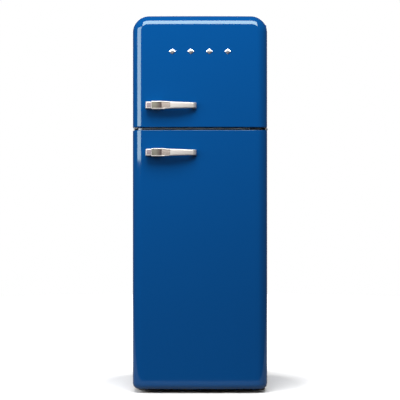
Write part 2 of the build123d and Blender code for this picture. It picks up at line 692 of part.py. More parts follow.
def air_duct_cover():
    """A moulded cover over the evaporator, with an inlet grille for the fan and three outlets."""
    outer = block(-DUCT_HALF, DUCT_HALF, DUCT_FRONT, INNER_BACK, DUCT_BOTTOM, DUCT_TOP)
    outer = fillet(outer.edges().group_by(Axis.Y)[0], 6)
    inner = block(-DUCT_HALF + DUCT_WALL, DUCT_HALF - DUCT_WALL, DUCT_FRONT + DUCT_WALL, INNER_BACK + 1,
                  DUCT_BOTTOM + DUCT_WALL, DUCT_TOP - DUCT_WALL)
    cover = outer - inner
    slots = 9
    pitch = 2 * FAN_RADIUS / (slots + 0.4)
    for i in range(slots):
        rise = pitch * (i - (slots - 1) / 2)
        z = FAN_HEIGHT + rise
        chord = sqrt(FAN_RADIUS ** 2 - rise ** 2)
        cover -= block(-chord, chord, DUCT_FRONT - 1, DUCT_FRONT + DUCT_WALL, z - DUCT_WALL, z + DUCT_WALL)
    for x in (-DUCT_HALF * 0.6, 0, DUCT_HALF * 0.6):
        cover -= block(x - DUCT_HALF / 5, x + DUCT_HALF / 5, DUCT_FRONT - 1, DUCT_FRONT + DUCT_WALL,
                       DUCT_TOP - 40, DUCT_TOP - 30)
    for i in (-1, 1):
        for j in (-1, 1):
            x, z = i * MOTOR_POST, FAN_HEIGHT + j * MOTOR_POST
            cover += rod((x, DUCT_FRONT + DUCT_WALL / 2, z), (x, motor_back() - FLANGE, z), 4)
    return cover


def motor_back():
    return INNER_BACK - 13


def fan_front():
    return DUCT_FRONT + DUCT_WALL + 4


def fan_motor():
    back = motor_back()
    edge, z = MOTOR_HALF_PLATE, FAN_HEIGHT
    window_low, window_high = MOTOR_RADIUS + 2, MOTOR_HALF_PLATE - 14
    can = rod((0, back - MOTOR_LENGTH, z), (0, back, z), MOTOR_RADIUS)
    plate = block(-edge, edge, back - FLANGE, back, z - edge, z + edge)
    for side in (-1, 1):
        low, high = sorted((z + side * window_low, z + side * window_high))
        plate -= block(-window_high, window_high, back - FLANGE, back, low, high)
    return can + plate + rod((0, fan_front() + 2, z), (0, back - MOTOR_LENGTH + 1, z), SHAFT_RADIUS)


def fan_impeller():
    """A hub with pitched blades, cut off at the fan's radius."""
    front = fan_front()
    depth = FAN_DEPTH
    hub = rod((0, front, FAN_HEIGHT), (0, front + depth, FAN_HEIGHT), FAN_RADIUS * 0.28)
    reach = Pos(0, front + depth / 2, FAN_HEIGHT)
    blade = Pos(0, 0, FAN_RADIUS / 2) * Rot(0, 0, BLADE_PITCH_ANGLE) * Box(1.6, 1.3 * depth, FAN_RADIUS)
    room = rod((0, front + 0.5, FAN_HEIGHT), (0, front + depth - 0.5, FAN_HEIGHT), FAN_RADIUS - 2)
    for i in range(FAN_BLADES):
        turned = reach * Rot(0, 360 / FAN_BLADES * i, 0) * blade
        hub += turned & room
    return hub - rod((0, front + 2, FAN_HEIGHT), (0, front + depth + 1, FAN_HEIGHT),
                     SHAFT_RADIUS + RUNNING_FIT)


# ---------------------------------------------------------------- controls and interior

def knob_y():
    return (HOUSING_FRONT + HOUSING_BACK) / 2


def button_z():
    """The switch button is level with the middle of the dyke's top bar, which presses it."""
    return FRIDGE_CEILING - DYKE_RISE - DYKE_WIDTH / 2


def control_housing():
    wall = HOUSING_WALL
    shell = block(-HOUSING_HALF, HOUSING_HALF, HOUSING_FRONT, HOUSING_BACK, HOUSING_LOW, FRIDGE_CEILING)
    shell = fillet(shell.edges().group_by(Axis.Z)[0], 2 * wall)
    shell -= block(-HOUSING_HALF + wall, HOUSING_HALF - wall, HOUSING_FRONT + wall, HOUSING_BACK - wall,
                   HOUSING_LOW + wall, FRIDGE_CEILING)
    shell -= lens_block(0, HOUSING_LOW - 1, HOUSING_LOW + wall)
    shell += rod((KNOB_X, knob_y(), HOUSING_LOW - KNOB_HEIGHT + 4), (KNOB_X, knob_y(), HOUSING_LOW + 1),
                 KNOB_SHAFT)
    front, z = HOUSING_FRONT, button_z()
    sleeve = rod((BUTTON_X, front + 1, z), (BUTTON_X, front + BUTTON_SLEEVE + wall, z), BUTTON_RADIUS + 3)
    bore = rod((BUTTON_X, front - 1, z), (BUTTON_X, front + BUTTON_SLEEVE, z), BUTTON_RADIUS + RUNNING_FIT)
    return shell + sleeve - bore


def lens_block(inset, low, high):
    """The lens's window in the housing's floor, made smaller by an inset."""
    reach = LENS_DEPTH / 2 - inset
    return block(LENS_LEFT + inset, LENS_RIGHT - inset, knob_y() - reach, knob_y() + reach, low, high)


def lamp_lens():
    """A shallow diffuser in the housing's floor."""
    wall = HOUSING_WALL
    lens = lens_block(0, HOUSING_LOW - LENS_DROP, HOUSING_LOW + wall)
    lens = fillet(lens.edges().group_by(Axis.Z)[0], 1.5 * wall)
    return lens - lens_block(wall, HOUSING_LOW - LENS_DROP + wall, HOUSING_LOW + wall + 1)


def thermostat_knob():
    low, high = HOUSING_LOW - KNOB_HEIGHT, HOUSING_LOW - SLIDE_GAP
    dial = rod((KNOB_X, knob_y(), low), (KNOB_X, knob_y(), high), KNOB_RADIUS)
    dial = fillet(dial.edges().group_by(Axis.Z)[0], 2)
    for i in range(KNOB_GRIPS):
        angle = radians(360 / KNOB_GRIPS * i)
        x, y = KNOB_X + KNOB_RADIUS * cos(angle), knob_y() + KNOB_RADIUS * sin(angle)
        dial -= rod((x, y, low - 1), (x, y, high + 1), 1)
    pointer = block(KNOB_X - 2, KNOB_X + 2, knob_y() - KNOB_RADIUS + 2, knob_y(), low - 3, low + 1)
    bore = rod((KNOB_X, knob_y(), low + 3), (KNOB_X, knob_y(), high + 1), KNOB_SHAFT + RUNNING_FIT)
    return dial + pointer - bore


def door_switch_button():
    """A sprung plunger, held in by the closed door."""
    front = DOOR_BACK + DYKE_DEPTH + SLIDE_GAP
    back = HOUSING_FRONT + BUTTON_SLEEVE - BUTTON_RADIUS
    stem = rod((BUTTON_X, front, button_z()), (BUTTON_X, back, button_z()), BUTTON_RADIUS)
    return fillet(stem.edges().group_by(Axis.Y)[0], 1.5)


def freezer_shelf():
    """A wire rack that rests on the liner's ribs."""
    half = FREEZER_HALF - SHELF_SIDE_GAP - RACK_WIRE
    front, back = SHELF_FRONT + RACK_WIRE, INNER_BACK - RACK_BACK_GAP
    z = FREEZER_SHELF + RACK_WIRE
    rack = rod((-half - RACK_WIRE, front, z), (half + RACK_WIRE, front, z), RACK_WIRE)
    rack += rod((-half - RACK_WIRE, back, z), (half + RACK_WIRE, back, z), RACK_WIRE)
    for i in range(RACK_BARS):
        x = -half + 2 * half * i / (RACK_BARS - 1)
        rack += rod((x, front, z), (x, back, z), RACK_WIRE * 0.8)
    return rack


def ice_tray():
    """Two rows of six tapered pockets, standing on the rack."""
    wall, edge = TRAY_WALL, 2 * TRAY_WALL
    low = FREEZER_SHELF + 2 * RACK_WIRE + SLIDE_GAP
    left, front = -(FREEZER_HALF + TRAY_LENGTH) / 2, SHELF_FRONT + TRAY_SETBACK
    body = block(left, left + TRAY_LENGTH, front, front + TRAY_WIDTH, low, low + TRAY_HEIGHT)
    body = fillet(body.edges().filter_by(Axis.Z), edge)
    column = (TRAY_LENGTH - 2 * edge + wall) / POCKET_COLUMNS
    row = (TRAY_WIDTH - 2 * edge + wall) / POCKET_ROWS
    for i in range(POCKET_COLUMNS):
        for j in range(POCKET_ROWS):
            x, y = left + edge + column * i, front + edge + row * j
            body -= block(x, x + column - wall, y, y + row - wall, low + wall, low + TRAY_HEIGHT + 1)
    return body


def shelf_glass(level, back):
    """A glass plate that rests on ribs at the given level."""
    half = FRIDGE_HALF - SHELF_SIDE_GAP
    low = level + SLIDE_GAP
    return block(-half, half, SHELF_FRONT + SHELF_TRIM / 2, back, low, low + SHELF_GLASS)


def shelf_trim(level):
    """The moulded edge along the front of a glass shelf."""
    half = FRIDGE_HALF - SHELF_SIDE_GAP
    low = level + SLIDE_GAP
    edge = block(-half, half, SHELF_FRONT, SHELF_FRONT + SHELF_TRIM - 1, low - 5, low + SHELF_GLASS + 5)
    edge = fillet(edge.edges().group_by(Axis.Y)[0].filter_by(Axis.X), 3)
    return edge - shelf_glass(level, SHELF_BACK)


def crisper_drawer():
    """A deep drawer on the compartment floor, with a lip to pull it by."""
    half = FRIDGE_HALF - CRISPER_SIDE_GAP
    low = FRIDGE_FLOOR + SLIDE_GAP
    high = STEP_TOP - SHELF_GLASS - RIB_HEIGHT - CRISPER_TOP_GAP
    front = SHELF_FRONT + 2
    body = tray(half, front, STEP_FRONT - 10, low, high, CRISPER_WALL)
    lip_top = high - 2 * CRISPER_LIP
    return body + block(-half / 2, half / 2, front - CRISPER_LIP / 2, front + 1, lip_top - CRISPER_LIP, lip_top)


# ---------------------------------------------------------------- doors
def crown_disc(inset):
    """The plan of the doors' crowned fronts: a large disc that bulges forward in the middle."""
    radius = (HALF ** 2 + DOOR_CROWN ** 2) / (2 * DOOR_CROWN)
    return Pos(0, DOOR_FRONT + radius) * Circle(radius - inset)


def door_form(bottom, top, corner, low_edge, high_edge, inset):
    """A door's outer form, made smaller by an inset: crowned front and rounded front edges.

    The top corners have a radius in front view on the freezer door, where corner is not 0.
    """
    half = HALF - inset
    low, high = bottom + inset, top - inset
    if corner:
        outline = arch(half, low, high, corner - inset)
    else:
        outline = Pos(0, (low + high) / 2) * Rectangle(2 * half, high - low)
    bulge = extrude(Pos(0, 0, low - 1) * crown_disc(inset), amount=high - low + 2)
    form = upright(outline, DOOR_FRONT - 1, DOOR_BACK) & bulge
    crown = form.faces().filter_by(GeomType.CYLINDER).sort_by(Axis.Y)[0]
    if corner:
        soft = [edge for edge in crown.edges() if edge.center().Z > low + 1]
    else:
        soft = [edge for edge in crown.edges() if abs(edge.center().X) > half - 1]
    form = fillet(soft, DOOR_EDGE - inset)
    lower = [edge for edge in form.faces().sort_by(Axis.Z)[0].edges() if edge.center().Y < DOOR_BACK - 1]
    form = fillet(lower, low_edge - inset)
    if high_edge:
        upper = [edge for edge in form.faces().sort_by(Axis.Z)[-1].edges()
                 if edge.center().Y < DOOR_BACK - 1]
        form = fillet(upper, high_edge - inset)
    return form


def freezer_form(inset):
    return door_form(FREEZER_DOOR_BOTTOM, HEIGHT, TOP_CORNER, GAP_EDGE, 0, inset)


def fridge_form(inset):
    return door_form(FLOOR_GAP, FRIDGE_DOOR_TOP, 0, BOTTOM_EDGE, GAP_EDGE, inset)


def dyke(half, bottom, top):
    """The raised ring that the liner forms on a door's inner side."""
    half, low, high = half - DYKE_CLEARANCE, bottom + DYKE_RISE, top - DYKE_RISE
    outer = rounded(half, low, high, OPENING_CORNER)
    width = DYKE_WIDTH
    hollow = rounded(half - width, low + width, high - width, OPENING_CORNER - width)
    return upright(outer - hollow, DOOR_BACK - LINER, DOOR_BACK + DYKE_DEPTH)


def dyke_bars(half, bottom, top):
    """The four foam bars inside that ring, which meet end to side at its corners."""
    inset, far = DYKE_CLEARANCE + LINER, DYKE_CLEARANCE + DYKE_WIDTH - LINER
    low, high = bottom + DYKE_RISE + LINER, top - DYKE_RISE - LINER
    front, back = DOOR_BACK - LINER, DOOR_BACK + DYKE_DEPTH - LINER
    thick = far - inset
    whole = upright(rounded(half - inset, low, high, OPENING_CORNER - LINER), front, back)
    bars = both_sides(block(half - far, half - inset, front, back, low, high))
    bars += [block(far - half, half - far, front, back, low, low + thick),
             block(far - half, half - far, front, back, high - thick, high)]
    return [bar & whole for bar in bars]


def bin_lugs(half, level):
    """Lugs on the dyke that carry a bin's side rails, under the given level."""
    wall = half - DYKE_CLEARANCE - DYKE_WIDTH
    lug = block(wall - BIN_GAP + SLIDE_GAP, wall + 1, DOOR_BACK, DOOR_BACK + LUG_LENGTH, level - LUG_HEIGHT,
                level)
    return both_sides(lug)


def top_hinge_slot():
    """Room for the top hinge arm as the freezer door turns about it."""
    low = TOP_ARM_LOW + TOP_ARM / 2 - TOP_SLOT / 2
    return block(HINGE_X - 2 * PIN_RADIUS, HALF + 1, HINGE_Y - 23, DOOR_BACK + 1, low, low + TOP_SLOT)


def freezer_cuts():
    low = hinge_bore(FREEZER_DOOR_BOTTOM - 1, FREEZER_DOOR_BOTTOM + PIN_REACH + 2)
    high = hinge_bore(TOP_ARM_LOW - PIN_REACH - 2, TOP_ARM_LOW)
    return [low, high, top_hinge_slot()]


def fridge_cuts():
    low = hinge_bore(FLOOR_GAP - 1, FLOOR_GAP + PIN_REACH + 2)
    high = hinge_bore(FRIDGE_DOOR_TOP - PIN_REACH - 2, FRIDGE_DOOR_TOP + 1)
    return [low, high]


def door_skin(form, cuts):
    return form(0) - form(SHELL_SHEET) - cuts


def door_insulation(form, cuts, half, bottom, top):
    """The door's foam: its body, and the bars that fill the dyke."""
    body = form(SHELL_SHEET) - block(-HALF, HALF, DOOR_BACK - LINER, DOOR_BACK + 1, 0, HEIGHT)
    return [body - cuts] + dyke_bars(half, bottom, top)


def door_liner(form, cuts, half, bottom, top, levels):
    """The moulded inner panel: a flat border, the dyke, and a lug under each bin rail."""
    plate = form(SHELL_SHEET) & block(-HALF, HALF, DOOR_BACK - LINER, DOOR_BACK, 0, HEIGHT)
    panel = plate + dyke(half, bottom, top) - dyke_bars(half, bottom, top)
    for level in levels:
        panel += bin_lugs(half, level)
    return panel - cuts


def door_gasket(bottom, top):
    """A ring of magnetic seal on the door's back, just short of the cabinet's front."""
    half = HALF - GASKET_OUTER
    ring = rounded(half, bottom, top, 20)
    ring -= rounded(half - GASKET_WIDTH, bottom + GASKET_WIDTH, top - GASKET_WIDTH, 8)
    return upright(ring, DOOR_BACK, CABINET_FRONT - SLIDE_GAP)


def door_bin(half, bottom, top):
    """An open bin with a rail on each side that rests on the door's lugs."""
    side = half - DYKE_CLEARANCE - DYKE_WIDTH - BIN_GAP
    box = tray(side, BIN_FRONT, BIN_BACK, bottom, top, BIN_WALL)
    rail_low = bin_level(bottom) + SLIDE_GAP
    rail = block(side - 1, side + BIN_RAIL, BIN_FRONT, BIN_FRONT + LUG_LENGTH, rail_low,
                 rail_low + BIN_RAIL_HEIGHT)
    return box + both_sides(rail)


def bin_level(bottom):
    """The height of the lugs under a bin's rails."""
    return bottom + BIN_LUG_RISE


def door_handle(level, form):
    """A cast pull with a heel, a wide base and a tapering lever, bowed off the door.

    Its plan leaves a finger gap behind the lever, and its front outline narrows to the tip.
    """
    left = -HALF + HANDLE_FROM_EDGE
    right = left + HANDLE_LENGTH
    out = HANDLE_PROJECTION
    inner = out - LEVER_THICKNESS
    sunk = -DOOR_CROWN
    foot_end = left + HANDLE_FOOT
    tip = right - LEVER_TIP

    def at(x, depth):
        return (x, DOOR_FRONT - depth)

    plan = make_face([
        Line(at(left, sunk), at(left, out * 0.3)),
        ThreePointArc(at(left, out * 0.3), at(left + 9, out * 0.7), at(left + HANDLE_HEEL, out * 0.9)),
        Line(at(left + HANDLE_HEEL, out * 0.9), at(left + HANDLE_BASE, out)),
        TangentArc(at(left + HANDLE_BASE, out), at(tip, out * 0.7), tangent=(1, 0)),
        ThreePointArc(at(tip, out * 0.7), at(right - LEVER_TIP / 4, out * 0.5), at(right, out * 0.2)),
        Line(at(right, out * 0.2), at(right, sunk)),
        Line(at(right, sunk), at(tip + 2, sunk)),
        Line(at(tip + 2, sunk), at(tip, out * 0.15)),
        ThreePointArc(at(tip, out * 0.15), at(tip - 8, inner * 0.75), at(tip - LEVER_TURN, inner)),
        Line(at(tip - LEVER_TURN, inner), at(foot_end + 16, inner)),
        ThreePointArc(at(foot_end + 16, inner), at(foot_end + 4, inner * 0.8), at(foot_end, inner * 0.4)),
        Line(at(foot_end, inner * 0.4), at(foot_end, sunk)),
        Line(at(foot_end, sunk), at(left, sunk))])
    body = extrude(Pos(0, 0, level - HANDLE_BASE_HEIGHT / 2) * plan, amount=HANDLE_BASE_HEIGHT)
    heel = Pos(left + HANDLE_HEEL / 2, level) * Rectangle(HANDLE_HEEL + 1, HANDLE_HEEL_HEIGHT)
    base = Pos(left + (HANDLE_HEEL + HANDLE_BASE) / 2, level) * Rectangle(
        HANDLE_BASE - HANDLE_HEEL, HANDLE_BASE_HEIGHT)
    lever = make_face(Polyline(
        (left + HANDLE_BASE - 1, level + LEVER_ROOT_HEIGHT / 2), (right, level + LEVER_TIP_HEIGHT / 2),
        (right, level - LEVER_TIP_HEIGHT / 2), (left + HANDLE_BASE - 1, level - LEVER_ROOT_HEIGHT / 2),
        close=True))
    return (body & upright(heel + base + lever, -TOTAL_DEPTH / 2 - 1, CABINET_FRONT)) - form(0)


def emblem_studs():
    """Four lozenge studs in a row on the freezer door, standing on its crowned front."""
    level = HEIGHT - STUDS_BELOW_TOP
    studs = []
    for i in range(4):
        x = STUD_SPACING * (i - 1.5)
        lozenge = make_face(Polyline((x - STUD_WIDTH / 2, level), (x, level + STUD_HEIGHT / 2),
                                     (x + STUD_WIDTH / 2, level), (x, level - STUD_HEIGHT / 2), close=True))
        front = DOOR_FRONT - STUD_THICKNESS
        studs.append(upright(lozenge, front, DOOR_FRONT + DOOR_CROWN) - freezer_form(0))
    return studs


def door_gap_trim():
    """A bright strip standing on the refrigerator door's top, a little behind its front edge."""
    def plan_band(inset):
        depth = DOOR_DEPTH + 1
        frame = Pos(0, DOOR_BACK - depth / 2) * Rectangle(2 * (HALF - inset), depth)
        plan = frame & crown_disc(inset)
        return fillet(plan.vertices().group_by(Axis.Y)[0], DOOR_EDGE - inset)

    inset = GAP_EDGE + TRIM_RECESS
    band = plan_band(inset) - plan_band(inset + TRIM_THICKNESS)
    strip = extrude(Pos(0, 0, FRIDGE_DOOR_TOP) * band, amount=TRIM_HEIGHT)
    return strip - block(HINGE_X - TRIM_STOP, HALF, -TOTAL_DEPTH / 2, CABINET_FRONT, 0, HEIGHT)


# ---------------------------------------------------------------- dairy compartment

def lid_pivot():
    """The lid's hinge line, as (y, z)."""
    return BIN_FRONT + BIN_WALL + LID_BARREL + LID_GAP, DAIRY_TOP - LID_BELOW_RIM


def dairy_bin_inner_half():
    return FRIDGE_HALF - DYKE_CLEARANCE - DYKE_WIDTH - BIN_GAP - BIN_WALL


def dairy_bin():
    y, z = lid_pivot()
    inner = dairy_bin_inner_half()
    bore = rod((-HALF, y, z), (HALF, y, z), LID_PIN + RUNNING_FIT)
    rest_high = z - LID_THICKNESS / 2 - SLIDE_GAP
    rest = block(inner - 4, inner + 1, BIN_BACK - 22, BIN_BACK - 1, rest_high - 4, rest_high)
    return door_bin(FRIDGE_HALF, DAIRY_BOTTOM, DAIRY_TOP) + both_sides(rest) - bore


def dairy_lid():
    y, z = lid_pivot()
    half = dairy_bin_inner_half() - 1
    edge = BIN_BACK - BIN_WALL - LID_GAP
    plate = block(-half, half, y, edge, z - LID_THICKNESS / 2, z + LID_THICKNESS / 2)
    grip = block(-25, 25, edge - 2 * LID_THICKNESS, edge, z, z + LID_BELOW_RIM - 0.5)
    barrel = rod((-half, y, z), (half, y, z), LID_BARREL)
    pins = rod((-half - BIN_WALL, y, z), (half + BIN_WALL, y, z), LID_PIN)
    return plate + grip + barrel + pins


# ---------------------------------------------------------------- assembly

def freezer_door_nodes():
    span = (FREEZER_HALF, FREEZER_FLOOR, FREEZER_CEILING)
    cuts = freezer_cuts()
    levels = [bin_level(bottom) for bottom, top in FREEZER_BINS]
    gasket_low = FREEZER_DOOR_BOTTOM + GASKET_LIP_GAP
    return {
        "freezer_door_skin": door_skin(freezer_form, cuts),
        "freezer_door_insulation": door_insulation(freezer_form, cuts, *span),
        "freezer_door_liner": door_liner(freezer_form, cuts, *span, levels),
        "freezer_door_gasket": door_gasket(gasket_low, HEIGHT - GASKET_TOP_INSET),
        "freezer_door_handle": door_handle(FREEZER_DOOR_BOTTOM + UPPER_HANDLE_RISE, freezer_form),
        "emblem_studs": emblem_studs(),
        "freezer_lower_bin": door_bin(FREEZER_HALF, *FREEZER_BINS[0]),
        "freezer_upper_bin": door_bin(FREEZER_HALF, *FREEZER_BINS[1]),
    }


def fridge_door_nodes():
    span = (FRIDGE_HALF, FRIDGE_FLOOR, FRIDGE_CEILING)
    cuts = fridge_cuts()
    levels = [bin_level(bottom) for bottom in (DAIRY_BOTTOM, MIDDLE_BIN[0], BOTTLE_BIN[0])]
    gasket_low = FRIDGE_FLOOR - GASKET_BOTTOM_DROP
    return {
        "fridge_door_skin": door_skin(fridge_form, cuts),
        "fridge_door_insulation": door_insulation(fridge_form, cuts, *span),
        "fridge_door_liner": door_liner(fridge_form, cuts, *span, levels),
        "fridge_door_gasket": door_gasket(gasket_low, FRIDGE_DOOR_TOP - GASKET_LIP_GAP),
        "fridge_door_handle": door_handle(FRIDGE_DOOR_TOP - LOWER_HANDLE_DROP, fridge_form),
        "door_gap_trim": door_gap_trim(),
        "dairy_bin": dairy_bin(),
        "dairy_lid": dairy_lid(),
        "middle_bin": door_bin(FRIDGE_HALF, *MIDDLE_BIN),
        "bottle_bin": door_bin(FRIDGE_HALF, *BOTTLE_BIN),
    }


def cabinet_nodes():
    return {
        "cabinet_wrapper": cabinet_wrapper(),
        "cabinet_front_frame": cabinet_front_frame(),
        "cabinet_back_panel": cabinet_back_panel(),
        "base_pan": base_pan(),
        "compressor_carrier": compressor_carrier(),
        "cabinet_insulation": cabinet_insulation(),
        "freezer_liner": freezer_liner(),
        "fridge_liner": fridge_liner(),
        "top_hinge_bracket": top_hinge_bracket(),
        "middle_hinge_bracket": middle_hinge_bracket(),
        "bottom_hinge_bracket": bottom_hinge_bracket(),
        "middle_hinge_cap": middle_hinge_cap(),
        "hinge_screws": hinge_screws(),
        "front_foot_left": front_foot(-1),
        "front_foot_right": front_foot(1),
        "rear_roller_left": rear_roller(-1),
        "rear_roller_right": rear_roller(1),
    }


def cooling_nodes():
    return {
        "compressor": compressor(),
        "compressor_grommets": compressor_grommets(),
        "starter_box": starter_box(),
        "condenser_tube": condenser_tube(),
        "condenser_wires": condenser_wires(),
        "condenser_brackets": condenser_brackets(),
        "refrigerant_pipes": refrigerant_pipes(),
        "freezer_evaporator": evaporator_plate(FREEZER_HALF - 30, FREEZER_FLOOR + 30, FREEZER_CEILING - 30),
        "fridge_evaporator": evaporator_plate(DUCT_HALF - 15, DUCT_BOTTOM + 15, DUCT_TOP - 15),
        "drip_tray": drip_tray(),
        "air_duct_cover": air_duct_cover(),
        "fan_motor": fan_motor(),
        "fan_impeller": fan_impeller(),
    }


def interior_nodes():
    return {
        "control_housing": control_housing(),
        "lamp_lens": lamp_lens(),
        "thermostat_knob": thermostat_knob(),
        "door_switch_button": door_switch_button(),
        "freezer_shelf": freezer_shelf(),
        "ice_tray": ice_tray(),
        "upper_shelf_glass": shelf_glass(UPPER_SHELF, SHELF_BACK),
        "upper_shelf_trim": shelf_trim(UPPER_SHELF),
        "lower_shelf_glass": shelf_glass(LOWER_SHELF, SHELF_BACK),
        "lower_shelf_trim": shelf_trim(LOWER_SHELF),
        "crisper_cover_glass": shelf_glass(STEP_TOP - SHELF_GLASS, STEP_FRONT),
        "crisper_drawer": crisper_drawer(),
    }


def main():
    os.makedirs("parts", exist_ok=True)
    nodes = {**cabinet_nodes(), **cooling_nodes(), **interior_nodes(), **freezer_door_nodes(),
             **fridge_door_nodes()}
    for name, piece in nodes.items():
        solids = piece if isinstance(piece, list) else [piece]
        separate = [solid for entry in solids for solid in entry.solids()]
        shape = separate[0] if len(separate) == 1 else Compound(children=separate)
        export_step(shape, os.path.join("parts", name + ".step"))
        box = shape.bounding_box()
        print(f"{name}: {len(separate)} solids, {shape.volume / 1000:.1f} cm3, "
              f"{box.min.X:.1f} {box.min.Y:.1f} {box.min.Z:.1f} to "
              f"{box.max.X:.1f} {box.max.Y:.1f} {box.max.Z:.1f}")


main()
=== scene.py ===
import json
import math

import bmesh
import bpy
import numpy as np
from mathutils.geometry import tessellate_polygon
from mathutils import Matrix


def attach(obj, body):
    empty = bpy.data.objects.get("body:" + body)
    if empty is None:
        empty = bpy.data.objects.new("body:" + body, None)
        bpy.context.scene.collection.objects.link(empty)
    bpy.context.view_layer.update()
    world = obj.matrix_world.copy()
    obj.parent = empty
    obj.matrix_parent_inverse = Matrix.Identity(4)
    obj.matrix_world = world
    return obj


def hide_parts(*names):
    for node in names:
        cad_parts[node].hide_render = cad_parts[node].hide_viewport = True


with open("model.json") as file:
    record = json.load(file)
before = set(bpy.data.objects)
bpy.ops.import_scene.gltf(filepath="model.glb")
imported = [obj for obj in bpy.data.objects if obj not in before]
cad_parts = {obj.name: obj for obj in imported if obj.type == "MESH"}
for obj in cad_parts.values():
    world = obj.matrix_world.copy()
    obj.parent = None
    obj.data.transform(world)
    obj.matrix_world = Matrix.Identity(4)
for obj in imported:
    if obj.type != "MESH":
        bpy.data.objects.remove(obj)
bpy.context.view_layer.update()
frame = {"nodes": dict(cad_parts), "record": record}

# Top freezer refrigerator. Metres; origin on the floor under its middle, doors face -Y, +Z up.

# Cabinet
HALF = 0.300
HEIGHT = 1.680
TOP_CORNER = 0.073
SHEET = 0.0012
CABINET_FOOT = 0.018
CABINET_FRONT = -0.200
CABINET_BACK = 0.345

# Doors: the heights of their ends, the rolled edge and the crown across the front
FREEZER_DOOR = (1.181, 1.680)
FRIDGE_DOOR = (0.017, 1.169)
DOOR_FRONT = -0.312
DOOR_BACK = -0.212
CROWN_RADIUS = 5.629
EDGE = 0.048
ROLL_REACH = CROWN_RADIUS - EDGE
GAP_EDGE = 0.004
LOWER_GAP_EDGE = 0.002
BOTTOM_EDGE = 0.025
HEM = 0.006
EDGE_STEPS = 14
END_STEPS = 6
FRONT_COLUMNS = 49

# Hinge pins, and the slot in the freezer door's edge that the top hinge arm turns in
HINGE = (0.278, -0.252)
PIN_HOLE = 0.0051
PIN_DEPTH = 0.016
PIN_STEPS = 24
ARM_SLOT = (1.628, 1.637)
ARM_SLOT_COLUMNS = (1, 8)
POCKET = (0.268, 0.2955, -0.275, DOOR_BACK)
POCKET_WALL = 0.0006

# Door pulls: u runs along a pull from the end of its heel, at the left, to its tip
PULL_LEVELS = {"freezer": 1.277, "fridge": 1.069}
PULL_LEFT = -0.240
LENGTH = 0.224
HEEL = 0.026
BASE = 0.110
FOOT = -0.008
FINGER_GAP = 0.026
BORDER = 0.0042
BED = ((0.0268, 0.0280), (0.1085, 0.1093))
BED_DEPTH = 0.0052
LEVER_START = (0.106, 0.118)

# Trim
STUD_PITCH = 0.082
STUD_LEVEL = 1.517
STUD_HALF = (0.0165, 0.0125)
STRIP_INSET = 0.008
STRIP_END = 0.221
STRIP_SECTION = (0, 0.003, 1.1690, 1.1768)
CAP_PLAN = (0.2927, 0.302, -0.262, -0.203)
SEAL_HALF = 0.276

# Studio
FLOOR_MIDDLE = (0, 2.65)
FLOOR_RADIUS = 3.4
FLOOR_LEVELS = (-0.0005, -0.03)
FLOOR_STEPS = 96
SENSOR = 36.0
LENS_DISTANCE = 6.0
VIEW_WIDTH = 1.790
CAMERA = (0.0, -6.25, 0.859)


# ---------------------------------------------------------------- meshes
def grid_faces(rows, columns, wrap=False):
    """Quads of a grid of points; with wrap, the last column joins the first."""
    r = np.arange(rows - 1)
    c = np.arange(columns if wrap else columns - 1)
    i, j = np.meshgrid(r, c, indexing="ij")
    k = (j + 1) % columns
    near, far = i * columns, (i + 1) * columns
    return np.stack([near + j, near + k, far + k, far + j], -1).reshape(-1, 4).tolist()


class Parts:
    """Gathers closed surfaces into the points and faces of one piece."""

    MERGE = 2e-6
    SLIVER = 1e-7

    def __init__(self):
        self.points, self.faces, self.count = [], [], 0

    def add(self, points, faces):
        """One surface; its faces count from its own first point."""
        points = np.asarray(points, float).reshape(-1, 3)
        self.points.append(points)
        self.faces += [[v + self.count for v in face] for face in faces]
        self.count += len(points)

    def loft(self, rings, wrap=False):
        """Closed loops of equal length, joined in order; flat caps, or the last joined to the first."""
        rings = np.asarray(rings, float)
        if wrap:
            rings = np.concatenate([rings, rings[:1]])
        rows, columns = rings.shape[:2]
        faces = grid_faces(rows, columns, wrap=True)
        if not wrap:
            faces.append(list(range(columns))[::-1])
            faces.append(list(range((rows - 1) * columns, rows * columns)))
        self.add(rings, faces)

    def piece(self, name, body, slot, material, nodes=(), angle=35.0):
        """One mesh at the origin: doubles merged, faces turned outward, smooth up to an angle."""
        mesh = bpy.data.meshes.new(name)
        mesh.from_pydata(np.concatenate(self.points).tolist(), [], self.faces)
        work = bmesh.new()
        work.from_mesh(mesh)
        bmesh.ops.remove_doubles(work, verts=work.verts, dist=self.MERGE)
        bmesh.ops.dissolve_degenerate(work, edges=work.edges, dist=self.SLIVER)
        bmesh.ops.recalc_face_normals(work, faces=work.faces)
        work.to_mesh(mesh)
        work.free()
        shade_smooth(mesh, angle)
        mesh.materials.append(material)
        piece = bpy.data.objects.new(name, mesh)
        bpy.context.scene.collection.objects.link(piece)
        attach(piece, body)
        if nodes:
            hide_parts(*nodes)


def shade_smooth(mesh, angle):
    """Smooth shading, with every edge sharper than an angle in degrees kept crisp."""
    mesh.polygons.foreach_set("use_smooth", np.ones(len(mesh.polygons), bool))
    mesh.set_sharp_from_angle(angle=math.radians(angle))


def rounded_loop(a0, a1, b0, b1, radius, steps):
    """A rounded rectangle as a closed loop of (a, b): four quarter circles joined by straight sides."""
    turn = np.linspace(0, math.pi / 2, steps + 1)
    corners = ((a1 - radius, b0 + radius, -math.pi / 2), (a1 - radius, b1 - radius, 0),
               (a0 + radius, b1 - radius, math.pi / 2), (a0 + radius, b0 + radius, math.pi))
    return np.concatenate([
        np.stack([a + radius * np.cos(start + turn), b + radius * np.sin(start + turn)], -1)
        for a, b, start in corners])


def in_xz(loop, y):
    """A loop of (x, z) set at one y."""
    return np.stack([loop[:, 0], np.full(len(loop), y), loop[:, 1]], -1)


def in_xy(loop, z):
    """A loop of (x, y) set at one z."""
    return np.stack([loop[:, 0], loop[:, 1], np.full(len(loop), z)], -1)


